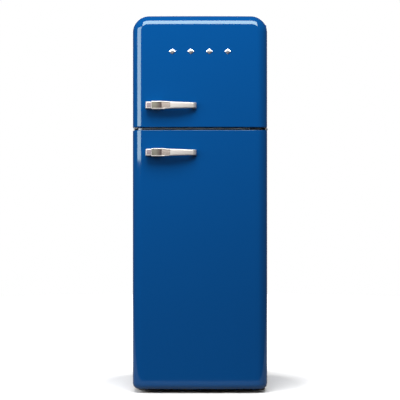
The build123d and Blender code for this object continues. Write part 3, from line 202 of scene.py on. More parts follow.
def in_yz(loop, x):
    """A loop of (y, z) set at one x."""
    return np.stack([np.full(len(loop), x), loop[:, 0], loop[:, 1]], -1)


def circle(radius, steps):
    """A circle as a closed loop of two coordinates."""
    t = np.linspace(0, 2 * math.pi, steps, endpoint=False)
    return np.stack([radius * np.cos(t), radius * np.sin(t)], -1)


def smooth_step(x, a, b):
    """0 before a, 1 after b, with a smooth turn between: three t squared less two t cubed."""
    t = np.clip((np.asarray(x, float) - a) / (b - a), 0, 1)
    return t * t * (3 - 2 * t)


# ---------------------------------------------------------------- materials
DRIFT_DETAIL = 4.0
GRAIN_DETAIL = 3.0
BUMP_DISTANCE = 0.001


def make_material(name, colour, rough, metal=0.0, bump=None, shade=0.0, shade_scale=4.0, clear=0.0,
                  ior=1.5, rough_spread=0.0, specular=0.5, stretch=(1.0, 1.0, 1.0), tint=None):
    """A procedural finish: base colour with a faint drifting shade, uneven roughness and a fine bump.

    bump is the strength and the scale of the grain; shade and rough_spread are how far the drift goes
    either way.
    """
    material = bpy.data.materials.new(name)
    material.use_nodes = True
    nodes, links = material.node_tree.nodes, material.node_tree.links
    shader = nodes["Principled BSDF"]
    shader.inputs["Metallic"].default_value = metal
    shader.inputs["IOR"].default_value = ior
    shader.inputs["Specular IOR Level"].default_value = specular
    shader.inputs["Transmission Weight"].default_value = clear
    if tint:
        shader.inputs["Specular Tint"].default_value = (*tint, 1)
    place = nodes.new("ShaderNodeTexCoord")
    scale = nodes.new("ShaderNodeMapping")
    scale.inputs["Scale"].default_value = stretch
    links.new(place.outputs["Object"], scale.inputs["Vector"])
    drift = nodes.new("ShaderNodeTexNoise")
    drift.inputs["Scale"].default_value = shade_scale
    drift.inputs["Detail"].default_value = DRIFT_DETAIL
    links.new(scale.outputs["Vector"], drift.inputs["Vector"])
    mix = nodes.new("ShaderNodeMix")
    mix.data_type = "RGBA"
    low = [c * (1 - shade) for c in colour]
    high = [min(1.0, c * (1 + shade)) for c in colour]
    mix.inputs["A"].default_value = (*low, 1)
    mix.inputs["B"].default_value = (*high, 1)
    links.new(drift.outputs["Fac"], mix.inputs["Factor"])
    links.new(mix.outputs["Result"], shader.inputs["Base Color"])
    if rough_spread:
        spread = nodes.new("ShaderNodeMapRange")
        spread.inputs["To Min"].default_value = max(0.0, rough - rough_spread)
        spread.inputs["To Max"].default_value = min(1.0, rough + rough_spread)
        links.new(drift.outputs["Fac"], spread.inputs["Value"])
        links.new(spread.outputs["Result"], shader.inputs["Roughness"])
    else:
        shader.inputs["Roughness"].default_value = rough
    if bump:
        grain = nodes.new("ShaderNodeTexNoise")
        grain.inputs["Scale"].default_value = bump[1]
        grain.inputs["Detail"].default_value = GRAIN_DETAIL
        links.new(scale.outputs["Vector"], grain.inputs["Vector"])
        raised = nodes.new("ShaderNodeBump")
        raised.inputs["Strength"].default_value = bump[0]
        raised.inputs["Distance"].default_value = BUMP_DISTANCE
        links.new(grain.outputs["Fac"], raised.inputs["Height"])
        links.new(raised.outputs["Normal"], shader.inputs["Normal"])
    return material


def paint_shade_along_x(material, start, end, colour):
    """Painted shade: turns the base colour to another one from start to end along X, where the hollow
    deepens and falls into shadow.
    """
    nodes, links = material.node_tree.nodes, material.node_tree.links
    place = nodes.new("ShaderNodeTexCoord")
    split = nodes.new("ShaderNodeSeparateXYZ")
    links.new(place.outputs["Object"], split.inputs["Vector"])
    along = nodes.new("ShaderNodeMapRange")
    along.inputs["From Min"].default_value = start
    along.inputs["From Max"].default_value = end
    links.new(split.outputs["X"], along.inputs["Value"])
    mix = nodes.new("ShaderNodeMix")
    mix.data_type = "RGBA"
    mix.inputs["B"].default_value = (*colour, 1)
    shader = nodes["Principled BSDF"]
    links.new(shader.inputs["Base Color"].links[0].from_socket, mix.inputs["A"])
    links.new(along.outputs["Result"], mix.inputs["Factor"])
    links.new(mix.outputs["Result"], shader.inputs["Base Color"])


enamel = make_material("door_enamel_finish", (0.0, 0.0465, 0.176), 0.045, bump=(0.012, 260), shade=0.02,
                       shade_scale=2.0, rough_spread=0.01, specular=0.65, tint=(0.76, 0.98, 0.86))
chrome = make_material("satin_chrome_finish", (0.60, 0.565, 0.535), 0.46, metal=0.60,
                       bump=(0.03, 400), shade=0.03, rough_spread=0.04)
heel_chrome = make_material("heel_plate_finish", (0.30, 0.25, 0.27), 0.44, metal=0.60,
                            bump=(0.05, 700), shade=0.15, shade_scale=40, rough_spread=0.05)
hollow_shaded_chrome = make_material("hollow_plate_shaded_finish", (0.25, 0.235, 0.19), 0.40, metal=0.60,
                              bump=(0.05, 700), shade=0.20, shade_scale=30, rough_spread=0.05)
# painted shade: the hollow plate goes dark red-brown towards its deep end, at the step to the ribbed
# plate
paint_shade_along_x(hollow_shaded_chrome, -0.196, -0.172, (0.105, 0.070, 0.068))
ribbed_chrome = make_material("ribbed_plate_finish", (0.33, 0.28, 0.25), 0.42, metal=0.60,
                              bump=(0.08, 700), shade=0.20, shade_scale=160, rough_spread=0.05)
polished = make_material("polished_chrome_finish", (0.66, 0.68, 0.74), 0.30, metal=1.0,
                         bump=(0.02, 400), shade=0.02, rough_spread=0.03)
# painted shade: the gap strip's chrome is made nearly black, standing in for the shade between the doors
shaded_trim_chrome = make_material("trim_chrome_shaded_finish", (0.12, 0.13, 0.145), 0.22, metal=1.0,
                            bump=(0.03, 400), shade=0.03, rough_spread=0.03)
dark_steel = make_material("dark_steel_finish", (0.055, 0.05, 0.048), 0.38, metal=0.6,
                           bump=(0.06, 500), shade=0.08, rough_spread=0.06)
zinc = make_material("zinc_steel_finish", (0.52, 0.53, 0.54), 0.42, metal=0.9, bump=(0.10, 90),
                     shade=0.10, shade_scale=28, rough_spread=0.10)
liner_white = make_material("white_liner_finish", (0.52, 0.53, 0.53), 0.30, bump=(0.04, 420),
                            shade=0.015, shade_scale=3, rough_spread=0.03)
foam = make_material("foam_finish", (0.70, 0.58, 0.34), 0.85, bump=(0.6, 240), shade=0.12,
                     shade_scale=30)
gasket_vinyl = make_material("gasket_finish", (0.33, 0.34, 0.35), 0.55, bump=(0.05, 600), shade=0.04)
rubber = make_material("black_rubber_finish", (0.018, 0.018, 0.018), 0.75, bump=(0.25, 900),
                       shade=0.15, shade_scale=40)
black_plastic = make_material("black_plastic_finish", (0.022, 0.022, 0.024), 0.42, bump=(0.12, 1100),
                              shade=0.10, shade_scale=30)
white_plastic = make_material("white_plastic_finish", (0.54, 0.55, 0.55), 0.34, bump=(0.05, 700),
                              shade=0.015)
clear_plastic = make_material("clear_plastic_finish", (0.90, 0.95, 0.97), 0.08, clear=0.85, ior=1.49,
                              bump=(0.02, 120), shade=0.01)
glass = make_material("shelf_glass_finish", (0.84, 0.94, 0.91), 0.04, clear=0.92, ior=1.52,
                      bump=(0.01, 30), shade=0.01)
black_enamel = make_material("black_enamel_finish", (0.014, 0.014, 0.015), 0.28, bump=(0.15, 300),
                             shade=0.1, shade_scale=20, rough_spread=0.06)
aluminium = make_material("aluminium_finish", (0.80, 0.81, 0.82), 0.30, metal=1.0, bump=(0.06, 160),
                          shade=0.04, shade_scale=20, rough_spread=0.06, stretch=(1, 1, 8))
copper = make_material("copper_finish", (0.62, 0.27, 0.14), 0.30, metal=1.0, bump=(0.06, 300),
                       shade=0.16, shade_scale=40, rough_spread=0.08)
white_wire = make_material("white_wire_finish", (0.56, 0.57, 0.57), 0.36, bump=(0.05, 500), shade=0.03)

FINISH = {"door_enamel": enamel, "bright_chrome": chrome, "dark_steel": dark_steel, "zinc_steel": zinc,
          "white_liner": liner_white, "foam": foam, "gasket_grey": gasket_vinyl, "black_rubber": rubber,
          "black_plastic": black_plastic, "white_plastic": white_plastic, "clear_plastic": clear_plastic,
          "shelf_glass": glass, "black_enamel": black_enamel, "bright_aluminium": aluminium,
          "copper": copper, "white_wire": white_wire}


# ---------------------------------------------------------------- doors
def crown(x):
    """Depth of a door's front at x: an arc of CROWN_RADIUS across the door, foremost at its middle."""
    return DOOR_FRONT + CROWN_RADIUS - np.sqrt(CROWN_RADIUS ** 2 - np.square(x))


def roll_centre(x):
    """Depth at x of the line that the edge rolls about: an arc that stays EDGE behind the crown."""
    return DOOR_FRONT + CROWN_RADIUS - np.sqrt(ROLL_REACH ** 2 - np.square(x))


def edge_strip(outline, outward, inset):
    """The rolled edge along an outline: back hem, flat flange, and an arc that ends on the crown.

    outline and outward are (x, z) arrays; inset moves a row inward, square to the surface. The arc is
    a turn from the outward direction to the crown's own normal, about a centre EDGE inside the outline.
    The result has a row of points for each point of the outline.
    """
    count = len(outline)
    cx, cz = (outline - EDGE * outward).T
    cy = roll_centre(cx)
    lean = cx / ROLL_REACH
    n = np.stack([outward[:, 0], np.zeros(count), outward[:, 1]], -1)
    m = np.stack([lean, -np.sqrt(1 - lean ** 2), np.zeros(count)], -1)
    angle = np.arccos(np.clip(np.sum(n * m, -1), -1, 1))[:, None, None]
    t = np.linspace(0, 1, EDGE_STEPS + 1)[None, :, None]
    turn = (np.sin((1 - t) * angle) * n[:, None] + np.sin(t * angle) * m[:, None]) / np.sin(angle)
    centre = np.stack([cx, cy, cz], -1)[:, None]
    arc = centre + (EDGE - inset[:, None, None]) * turn
    side = outline - inset[:, None] * outward
    inner = side - SHEET * outward
    ring = 0.002
    flange_middle = -0.235
    flange = [np.stack([where[:, 0], np.broadcast_to(y, count), where[:, 1]], -1)[:, None]
              for where, y in ((inner, DOOR_BACK - HEM), (inner, DOOR_BACK), (side, DOOR_BACK),
                               (side, DOOR_BACK - ring), (side, flange_middle), (side, cy + ring))]
    return np.concatenate(flange + [arc], axis=1)


def side_strips(outline, outward, inset):
    """The edge strip down the right side, and its mirror image on the left."""
    right = edge_strip(outline, outward, inset)
    return right, right * [-1, 1, 1]


def crown_rows(left, right):
    """The crowned front between the strips' ends: straight rows in x, bent back by the crown.

    A row moved in by a rounded end keeps the same inset along the crown's normal.
    """
    t = np.linspace(0, 1, FRONT_COLUMNS)[None, :]
    x = left[:, None, 0] * (1 - t) + right[:, None, 0] * t
    z = left[:, None, 2] * (1 - t) + right[:, None, 2] * t
    back = left[:, None, 1] - crown(left[:, None, 0])
    return np.stack([x, crown(x) + back, z], -1)


def end_rows(bottom, radius):
    """Heights and insets of the rows that round off a door's end, a quarter circle going away from it."""
    t = np.linspace(0, math.pi / 2, END_STEPS + 1)
    return bottom + radius * (1 - np.cos(t)), radius * (1 - np.sin(t))


def capped_end(parts, loop, depth):
    """A flat end of a door with the hinge pin's round hole, whose wall goes depth metres in."""
    ring = in_xy(circle(PIN_HOLE, PIN_STEPS) + np.asarray(HINGE), loop[0, 2])
    triangles = tessellate_polygon([[tuple(p) for p in loop], [tuple(p) for p in ring]])
    parts.add(np.concatenate([loop, ring]), [list(t) for t in triangles])
    faces = grid_faces(2, PIN_STEPS, wrap=True)
    faces.append(list(range(PIN_STEPS, 2 * PIN_STEPS)))
    parts.add(np.concatenate([ring, ring + np.array([0, 0, depth])]), faces)


def freezer_shell():
    """The freezer door's painted shell, closed but for the slot in its right edge.

    The side strips run up from a rounded lower end and over the top corners, quarter circles of
    TOP_CORNER; a strip along the top and the crowned front fill what is between them.
    """
    parts = Parts()
    bottom, top = FREEZER_DOOR
    near = 0.003
    corner_level = top - TOP_CORNER
    end_z, end_inset = end_rows(bottom, GAP_EDGE)
    zs = np.concatenate([end_z, [bottom + GAP_EDGE + near, 0.5 * (bottom + top), corner_level - near]])
    slot_turns = [math.asin((z - corner_level) / TOP_CORNER) for z in ARM_SLOT]
    turn = np.sort(np.append(np.linspace(0, math.pi / 2, EDGE_STEPS + 1), slot_turns))
    corner = np.stack([HALF - TOP_CORNER * (1 - np.cos(turn)),
                       top - TOP_CORNER * (1 - np.sin(turn))], -1)
    outline = np.concatenate([np.stack([np.full(len(zs), HALF), zs], -1), corner])
    outward = np.concatenate([np.tile([1.0, 0.0], (len(zs), 1)),
                              np.stack([np.cos(turn), np.sin(turn)], -1)])
    inset = np.concatenate([end_inset, np.zeros(len(outline) - len(end_inset))])
    right_strip, left_strip = side_strips(outline, outward, inset)
    flat = np.linspace(-(HALF - TOP_CORNER), HALF - TOP_CORNER, FRONT_COLUMNS)
    top_strip = edge_strip(np.stack([flat, np.full(FRONT_COLUMNS, top)], -1),
                           np.tile([0.0, 1.0], (FRONT_COLUMNS, 1)), np.zeros(FRONT_COLUMNS))
    front = crown_rows(left_strip[:, -1], right_strip[:, -1])
    rows, across = right_strip.shape[:2]
    faces = np.array(grid_faces(rows, across))
    row, column = faces[:, 0] // across, faces[:, 0] % across
    low, high = [len(zs) + int(np.argmin(np.abs(corner[:, 1] - z))) for z in ARM_SLOT]
    first, last = ARM_SLOT_COLUMNS
    in_slot = (row >= low) & (row < high) & (column >= first) & (column < last)
    parts.add(right_strip, faces[~in_slot].tolist())
    parts.add(left_strip, faces.tolist())
    parts.add(top_strip, grid_faces(FRONT_COLUMNS, across))
    parts.add(front, grid_faces(rows, FRONT_COLUMNS))
    hem = np.concatenate([left_strip[:, 0], top_strip[:, 0], right_strip[::-1, 0]])
    parts.add(hem, [list(range(len(hem)))])
    loop = np.concatenate([left_strip[0], front[0, 1:-1], right_strip[0, ::-1]])
    capped_end(parts, loop, PIN_DEPTH)
    parts.piece("freezer_door_shell", "freezer_door", "door_enamel", enamel, ["freezer_door_skin"])


def fridge_shell():
    """The refrigerator door's painted shell: straight side strips and the crown, rounded at both ends."""
    parts = Parts()
    bottom, top = FRIDGE_DOOR
    near = 0.004
    low_z, low_inset = end_rows(bottom, BOTTOM_EDGE)
    high_z, high_inset = end_rows(-top, LOWER_GAP_EDGE)
    middle = np.linspace(bottom + BOTTOM_EDGE + near, top - LOWER_GAP_EDGE - near, 5)
    zs = np.concatenate([low_z, middle, -high_z[::-1]])
    inset = np.concatenate([low_inset, np.zeros(len(middle)), high_inset[::-1]])
    outline = np.stack([np.full(len(zs), HALF), zs], -1)
    right_strip, left_strip = side_strips(outline, np.tile([1.0, 0.0], (len(zs), 1)), inset)
    front = crown_rows(left_strip[:, -1], right_strip[:, -1])
    whole = np.concatenate([left_strip, front[:, 1:-1], right_strip[:, ::-1]], axis=1)
    parts.add(whole, grid_faces(*whole.shape[:2], wrap=True))
    capped_end(parts, whole[0], PIN_DEPTH)
    capped_end(parts, whole[-1], -PIN_DEPTH)
    parts.piece("fridge_door_shell", "fridge_door", "door_enamel", enamel, ["fridge_door_skin"])


def hinge_pocket():
    """The walls of the slot that the top hinge arm turns in: four thin slabs of an open box."""
    parts = Parts()
    x0, x1, y0, y1 = POCKET
    z0, z1 = ARM_SLOT
    wall = POCKET_WALL
    for a, b, c, d, e, f in ((x0, x1, y0, y1, z0 - wall, z0), (x0, x1, y0, y1, z1, z1 + wall),
                             (x0 - wall, x0, y0, y1, z0, z1), (x0, x1, y0 - wall, y0, z0, z1)):
        parts.loft([in_xy(rounded_loop(a, b, c, d, 0.0001, 1), z) for z in (e, f)])
    parts.piece("freezer_hinge_pocket", "freezer_door", "door_enamel", enamel)


freezer_shell()
fridge_shell()
hinge_pocket()


# ---------------------------------------------------------------- handles
def pull_front(u):
    """How far a pull's front stands off the door: a quick rise over the heel, a step up to a gentle
    slope along the base, then a falling arc along the lever.
    """
    rise_start, rise, step = 0.006, 0.0008, 0.0012
    base_front, base_slope = 0.0432, 0.0048
    arc_length, arc_fall = 0.096, 0.0150
    heel = rise * (np.clip(u, rise_start, HEEL) - HEEL) / (HEEL - rise_start) - step * (u < HEEL - step)
    slope = base_front + base_slope * (np.clip(u, HEEL, BASE) - HEEL) / (BASE - HEEL)
    fall = arc_fall * (np.clip(u - BASE, 0, None) / arc_length) ** 2
    return heel + slope - fall


def handle_sections():
    """A pull's plan as rows of (u, inner depth, outer depth).

    The inner depth is FOOT where the pull runs into the door and FINGER_GAP behind the lever, with a
    hollow curve between them at either end. The outer depth follows pull_front but for both ends.
    """
    heel_end = ((0.0000, 0.0310), (0.0003, 0.0350), (0.0010, 0.0378), (0.0022, 0.0398), (0.0038, 0.0410))
    heel = np.concatenate([np.linspace(0.006, 0.0245, 6), (0.0255, 0.0260, 0.0268, 0.0280, 0.0296),
                           np.linspace(0.033, 0.0640, 9)])
    gap_start = ((0.06448, FOOT), (0.06449, 0.0104), (0.0649, 0.0150), (0.0664, 0.0190),
                 (0.0685, 0.0212), (0.0715, 0.0236), (0.0755, 0.0252), (0.0805, FINGER_GAP))
    gap = np.concatenate([np.linspace(0.0840, 0.1060, 8), (0.1075, 0.1085, 0.1093, 0.1100),
                          np.linspace(0.114, 0.180, 15)])
    gap_end = ((0.184, 0.0256), (0.188, 0.0246), (0.192, 0.0230), (0.1955, 0.0208), (0.199, 0.0178),
               (0.202, 0.0142), (0.2045, 0.0100), (0.2060, 0.0070))
    tip = ((0.2080, 0.0326), (0.2105, 0.0318), (0.2135, 0.0298), (0.2165, 0.0272), (0.2190, 0.0244),
           (0.2212, 0.0204), (0.2230, 0.0154), (0.2240, 0.0098))
    rows = [(u, FOOT, outer) for u, outer in heel_end]
    rows += [(u, FOOT, pull_front(u)) for u in heel]
    rows += [(u, inner, pull_front(u)) for u, inner in gap_start]
    rows += [(u, FINGER_GAP, pull_front(u)) for u in gap]
    rows += [(u, inner, pull_front(u)) for u, inner in gap_end]
    rows += [(u, FOOT, outer) for u, outer in tip]
    return np.array(rows)


def handle_height(u):
    """Full height of the pull along its length: heel, wide base, then the tapering lever."""
    heel_height, base_rise, base_taper, lever_taper = 0.0300, 0.0360, 0.0055, 0.0060
    past_heel = smooth_step(u, HEEL - 0.0008, HEEL + 0.0010)
    heel = heel_height * (1 - past_heel)
    base = (base_rise - base_taper * smooth_step(u, 0.070, BASE + 0.004)) * past_heel
    lever = lever_taper * np.clip((u - BASE) / (LENGTH - BASE), 0, 1)
    return heel + base - lever


def door_pull(name, body, node, level):
    """A cast pull, lofted from sections square to its length.

    Each section is a rounded rectangle whose front is a fine row of points, so the base can hold a
    sunk bed between two raised borders for its inset plates.
    """
    across = np.linspace(-1, 1, 33)
    turn = np.linspace(0, math.pi / 2, 5)
    soft_base, soft_more, pillow, border_slope = 0.0030, 0.0018, 0.0006, 0.0010
    rings = []
    for u, inner, outer in handle_sections():
        high = float(handle_height(u)) / 2
        lever = float(smooth_step(u, *LEVER_START))
        soft = min(soft_base + soft_more * lever, 0.45 * (outer - inner))
        z = across * high
        rim = np.clip((np.abs(z) - (high - soft)) / soft, 0, 1)
        sunk = float(smooth_step(u, *BED[0]) * (1 - smooth_step(u, *BED[1])))
        inside = 1 - smooth_step(np.abs(z), high - BORDER - border_slope, high - BORDER)
        depth = outer - soft * (1 - np.sqrt(1 - np.square(rim)))
        depth = depth - pillow * lever * np.square(across)
        depth = depth - sunk * inside * BED_DEPTH
        front = np.stack([DOOR_FRONT - depth, level + z], -1)
        small = min(0.003, 0.3 * (outer - inner))
        back_top = np.stack([DOOR_FRONT - (inner + small * (1 - np.cos(math.pi / 2 - turn))),
                             level + high - small * (1 - np.sin(math.pi / 2 - turn))], -1)
        back_low = back_top[::-1] * [1, -1] + [0, 2 * level]
        rings.append(in_yz(np.concatenate([front, back_top, back_low]), PULL_LEFT + u))
    parts = Parts()
    parts.loft(rings)
    parts.piece(name, body, "bright_chrome", chrome, [node], angle=40)


def heel_plate_drop(along):
    """The heel's plate stands a little proud of the heel all over."""
    return -0.0003


def hollow_plate_drop(along):
    """The hollowed plate falls away from the heel, more steeply as it goes."""
    return 0.0012 + 0.0032 * along ** 1.3


def ribbed_plate_drop(along):
    """The ribbed plate has twelve ribs across it: a cosine wave along the pull."""
    return 0.0012 + 0.0007 * (0.5 + 0.5 * math.cos(2 * math.pi * 12 * along))


def pull_plate(name, body, level, first, last, steps, wider, drop, finish):
    """A plate set in a pull's front from first to last along it: slightly crowned across its height.

    drop gives how far it lies below the pull's front, wider is what it gains in half its height.
    """
    across = np.linspace(-1, 1, 13)
    back_depth, crowning = 0.0050, 0.0004
    rings = []
    for u in np.linspace(first, last, steps + 1):
        high = float(handle_height(u)) / 2 - BORDER - 0.0008 + wider
        below = drop((u - first) / (last - first))
        front = np.stack([DOOR_FRONT - (pull_front(u) - below - crowning * np.square(across)),
                          level + across * high], -1)
        back = np.array([[DOOR_FRONT - (pull_front(u) - back_depth), level + high],
                         [DOOR_FRONT - (pull_front(u) - back_depth), level - high]])
        rings.append(in_yz(np.concatenate([front, back]), PULL_LEFT + u))
    parts = Parts()
    parts.loft(rings)
    parts.piece(name, body, "bright_chrome", finish, angle=50)


# each plate: where it starts and ends along the pull, its steps, what it gains, its drop, its finish
PULL_PLATES = (("heel_plate", 0.0046, 0.0242, 24, BORDER - 0.0022, heel_plate_drop, heel_chrome),
               ("hollow_plate", 0.0281, 0.0716, 24, 0, hollow_plate_drop, hollow_shaded_chrome),
               ("ribbed_plate", 0.0720, 0.1084, 96, 0, ribbed_plate_drop, ribbed_chrome))

for door, pull_level in PULL_LEVELS.items():
    door_pull(door + "_door_pull", door + "_door", door + "_door_handle", pull_level)
for door, pull_level in PULL_LEVELS.items():
    for part, *shape in PULL_PLATES:
        pull_plate(door + "_pull_" + part, door + "_door", pull_level, *shape)


# ---------------------------------------------------------------- trim
def studs():
    """Four pillowed lozenge studs: each ring is the lozenge drawn in and raised towards its middle."""
    parts = Parts()
    wide, high = STUD_HALF
    corner = np.array([(wide, 0), (0, high), (-wide, 0), (0, -high)])
    t = np.linspace(0, 1, 9)[:-1, None]
    loop = np.concatenate([corner[k] * (1 - t) + corner[(k + 1) % 4] * t for k in range(4)])
    for i in range(4):
        x0 = STUD_PITCH * (i - 1.5)
        rings = []
        for scale, rise in ((1.0, -0.006), (1.0, 0.0008), (0.975, 0.0014), (0.93, 0.0019),
                            (0.80, 0.0024), (0.55, 0.0028), (0.25, 0.00298)):
            rings.append(in_xz(loop * scale + [x0, STUD_LEVEL], crown(x0) - rise))
        parts.loft(rings)
    parts.piece("emblem_lozenges", "freezer_door", "bright_chrome", polished, ["emblem_studs"], 25)


def gap_trim():
    """The strip in the gap, its chrome darkened as painted shade: a thin rounded band following the
    door's front from the left side.
    """
    cx = HALF - EDGE
    cy = float(roll_centre(cx))
    tip = math.asin(cx / ROLL_REACH)
    path = [(-(HALF - STRIP_INSET), y) for y in np.linspace(DOOR_BACK - 0.0005, cy, 5)[:-1]]
    bend = EDGE - STRIP_INSET
    for t in np.linspace(0, math.pi / 2 - tip, 12):
        path.append((-(cx + bend * math.cos(t)), cy - bend * math.sin(t)))
    for x in np.linspace(-cx * 0.97, STRIP_END, 40):
        path.append((x, float(crown(x)) + STRIP_INSET))
    path = np.array(path)
    tangent = np.gradient(path, axis=0)
    tangent /= np.linalg.norm(tangent, axis=1)[:, None]
    inward = np.stack([tangent[:, 1], -tangent[:, 0]], -1)
    inward *= np.sign(np.sum(inward * -path, -1))[:, None]
    section = rounded_loop(*STRIP_SECTION, 0.0011, 4)
    rings = [np.stack([p[0] + n[0] * section[:, 0], p[1] + n[1] * section[:, 0], section[:, 1]], -1)
             for p, n in zip(path, inward)]
    parts = Parts()
    parts.loft(rings)
    parts.piece("door_gap_strip", "fridge_door", "bright_chrome", shaded_trim_chrome, ["door_gap_trim"], 30)


def hinge_cap():
    """The bright cap on the middle hinge: a rounded plan, drawn in at top and bottom."""
    x0, x1, y0, y1 = CAP_PLAN
    corner = 0.0037
    rings = []
    for z, inset in ((1.170, 0.0016), (1.1704, 0.0008), (1.1716, 0.0), (1.1784, 0.0),
                     (1.1796, 0.0008), (1.180, 0.0016)):
        loop = rounded_loop(x0 + inset, x1 - inset, y0 + inset, y1 - inset, corner - inset, 8)
        rings.append(in_xy(loop, z))
    parts = Parts()
    parts.loft(rings)
    parts.piece("middle_hinge_cover", "cabinet", "bright_chrome", polished, ["middle_hinge_cap"], 30)


studs()
gap_trim()
hinge_cap()


# ---------------------------------------------------------------- cabinet
def arch_loop(half, top, radius):
    """The cabinet's front outline, open at the bottom: up one side, over both corners, down the other."""
    near = 0.004
    turn = np.linspace(0, math.pi / 2, EDGE_STEPS + 1)
    corner = np.stack([half - radius * (1 - np.cos(turn)), top - radius * (1 - np.sin(turn))], -1)
    side = [(half, z) for z in (CABINET_FOOT, CABINET_FOOT + near, 0.6, 1.2, top - radius - near)]
    right = np.concatenate([side, corner, [(half - radius - near, top)]])
    left = right[::-1] * [-1, 1]
    return np.concatenate([right, [(0.0, top)], left])


def cabinet_shell():
    """The painted wrapper: an arched sheet with a rolled front edge, closed all round.

    The roll is half a circle between the inner and the outer outline, seen in a section across it.
    """
    outer = arch_loop(HALF, HEIGHT, TOP_CORNER)
    inner = arch_loop(HALF - SHEET, HEIGHT - SHEET, TOP_CORNER - SHEET)
    roll, near = 0.0006, 0.004
    rows = [in_xz(inner, y) for y in (CABINET_BACK, CABINET_FRONT + roll)]
    for angle in math.pi * np.linspace(0, 1, 5)[1:-1]:
        mix = (1 - math.cos(angle)) / 2
        rows.append(in_xz(inner * (1 - mix) + outer * mix, CABINET_FRONT + roll * (1 - math.sin(angle))))
    rows += [in_xz(outer, y) for y in (CABINET_FRONT + roll, CABINET_FRONT + near, 0.07,
                                       CABINET_BACK - near, CABINET_BACK)]
    points = np.array(rows)
    count, columns = points.shape[:2]
    faces = grid_faces(count + 1, columns)
    faces.append([i * columns for i in range(count)])
    faces.append([i * columns + columns - 1 for i in range(count)][::-1])
    parts = Parts()
    parts.add(np.concatenate([points, points[:1]]), faces)
    parts.piece("cabinet_shell", "cabinet", "door_enamel", enamel, ["cabinet_wrapper"])


def door_seal(name, body, node, bottom, top):
    """A magnetic seal: a bellows profile carried round a rounded rectangle on the door's back."""
    corner, corner_shrink = 0.020, 0.66
    profile = ((0.0, -0.2119), (0.0, -0.2085), (0.0028, -0.2070), (0.0, -0.2052), (0.0006, -0.2022),
               (0.0024, -0.2004), (0.0150, -0.2004), (0.0175, -0.2022), (0.0180, -0.2052),
               (0.0155, -0.2070), (0.0180, -0.2085), (0.0180, -0.2119))
    rings = []
    for inset, y in profile:
        loop = rounded_loop(-SEAL_HALF + inset, SEAL_HALF - inset, bottom + inset, top - inset,
                            corner - inset * corner_shrink, 8)
        rings.append(in_xz(loop, y))
    parts = Parts()
    parts.loft(rings, wrap=True)
    parts.piece(name, body, "gasket_grey", gasket_vinyl, [node], 50)


cabinet_shell()
door_seal("freezer_door_seal", "freezer_door", "freezer_door_gasket", 1.1845, 1.644)
door_seal("fridge_door_seal", "fridge_door", "fridge_door_gasket", 0.062, 1.1655)


# ---------------------------------------------------------------- carried-over nodes
slot_of = {s["node"]: s["material_slot"] for s in frame["record"]["subparts"]}
for carried, mesh_object in frame["nodes"].items():
    mesh_object.data.materials.clear()
    mesh_object.data.materials.append(FINISH[slot_of[carried]])
    shade_smooth(mesh_object.data, 30)


# ---------------------------------------------------------------- studio
def floor_disc():
    """A pale round floor with a slightly thick edge; the view sees it whiter than the doors mirror it.

    Seen directly it glows more with the distance from the origin, so that its far rim is never grey.
    """
    mesh = bpy.data.meshes.new("studio_floor")
    loop = circle(FLOOR_RADIUS, FLOOR_STEPS) + FLOOR_MIDDLE
    points = np.concatenate([in_xy(loop, level) for level in FLOOR_LEVELS])
    faces = grid_faces(2, FLOOR_STEPS, wrap=True)
    faces += [list(range(FLOOR_STEPS)), list(range(FLOOR_STEPS, 2 * FLOOR_STEPS))[::-1]]
    mesh.from_pydata(points.tolist(), [], faces)
    floor = bpy.data.objects.new("studio_floor", mesh)
    bpy.context.scene.collection.objects.link(floor)
    seen_white, mirrored_grey = 0.86, 0.26
    glow_start, glow_full = 0.45, 0.9
    finish = make_material("studio_floor_finish", (seen_white,) * 3, 0.9, shade=0.01, specular=0.1)
    nodes, links = finish.node_tree.nodes, finish.node_tree.links
    shader = nodes["Principled BSDF"]
    seen = nodes.new("ShaderNodeLightPath")
    pale = nodes.new("ShaderNodeMix")
    pale.data_type = "RGBA"
    pale.inputs["A"].default_value = (mirrored_grey, mirrored_grey, mirrored_grey, 1)
    links.new(shader.inputs["Base Color"].links[0].from_socket, pale.inputs["B"])
    links.new(seen.outputs["Is Camera Ray"], pale.inputs["Factor"])
    links.new(pale.outputs["Result"], shader.inputs["Base Color"])
    place = nodes.new("ShaderNodeTexCoord")
    distance = nodes.new("ShaderNodeVectorMath")
    distance.operation = "LENGTH"
    links.new(place.outputs["Object"], distance.inputs[0])
    far = nodes.new("ShaderNodeMapRange")
    far.inputs["From Min"].default_value = glow_start
    far.inputs["From Max"].default_value = glow_full
    links.new(distance.outputs["Value"], far.inputs["Value"])
    glow = nodes.new("ShaderNodeMath")
    glow.operation = "MULTIPLY"
    links.new(far.outputs["Result"], glow.inputs[0])
    links.new(seen.outputs["Is Camera Ray"], glow.inputs[1])
    shader.inputs["Emission Color"].default_value = (1, 1, 1, 1)
    links.new(glow.outputs["Value"], shader.inputs["Emission Strength"])
    mesh.materials.append(finish)


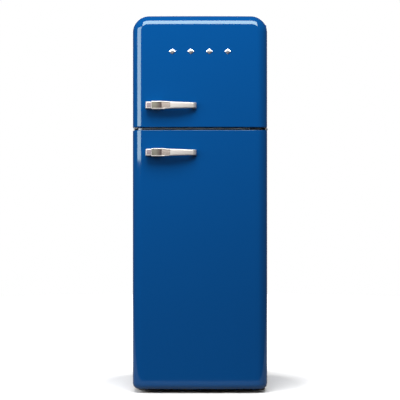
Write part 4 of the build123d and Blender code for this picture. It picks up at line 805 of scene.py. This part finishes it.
def white_world():
    """A world that is white where it is seen directly and dim where it lights or is mirrored."""
    dim_strength = 0.08
    world = bpy.data.worlds.new("studio_world")
    bpy.context.scene.world = world
    world.use_nodes = True
    nodes, links = world.node_tree.nodes, world.node_tree.links
    seen = nodes.new("ShaderNodeLightPath")
    white = nodes.new("ShaderNodeBackground")
    dim = nodes["Background"]
    for background, strength in ((white, 1.0), (dim, dim_strength)):
        background.inputs["Color"].default_value = (1.0, 1.0, 1.0, 1)
        background.inputs["Strength"].default_value = strength
    both = nodes.new("ShaderNodeMixShader")
    links.new(seen.outputs["Is Camera Ray"], both.inputs["Fac"])
    links.new(dim.outputs["Background"], both.inputs[1])
    links.new(white.outputs["Background"], both.inputs[2])
    links.new(both.outputs["Shader"], nodes["World Output"].inputs["Surface"])


def softbox(name, place, target, width, height, radiance):
    """A flat soft light at place, turned towards target, of a stated radiance."""
    data = bpy.data.lights.new(name, "AREA")
    data.shape = "RECTANGLE"
    data.size, data.size_y = width, height
    data.energy = radiance * width * height * math.pi
    light = bpy.data.objects.new(name, data)
    bpy.context.scene.collection.objects.link(light)
    light.location = place
    away = np.asarray(place, float) - np.asarray(target, float)
    away /= np.linalg.norm(away)
    flat = math.hypot(away[0], away[1])
    light.rotation_euler = (math.atan2(flat, away[2]), 0, math.atan2(away[0], -away[1]))
    return light


def soft_lights():
    """One light overhead and one at the left that the rolled edges mirror, one behind, two fills."""
    softbox("overhead_box", (0.0, -2.35, 3.55), (0.0, -0.35, 1.1), 3.4, 2.0, 10.5)
    softbox("left_box", (-2.774, -2.655, 2.135), (-0.074, -0.455, 2.135), 2.6, 2.0, 7.0)
    softbox("rear_box", (0.0, 5.0, 2.6), (0.0, 0.2, 0.9), 3.0, 2.4, 2.4)
    for side in (-1, 1):
        fill = softbox("side_box", (4.0 * side, 1.8, 2.6), (0.0, 0.1, 0.9), 2.2, 2.2, 4.0)
        fill.visible_glossy = False


def front_camera():
    """The camera looks level along +Y; VIEW_WIDTH fills the frame at LENS_DISTANCE from it."""
    data = bpy.data.cameras.new("front_camera")
    data.sensor_width = SENSOR
    data.lens = SENSOR * LENS_DISTANCE / VIEW_WIDTH
    camera = bpy.data.objects.new("front_camera", data)
    bpy.context.scene.collection.objects.link(camera)
    camera.location = CAMERA
    camera.rotation_euler = (math.pi / 2, 0, 0)
    bpy.context.scene.camera = camera


floor_disc()
white_world()
soft_lights()
front_camera()
bpy.context.scene.view_settings.view_transform = "Standard"
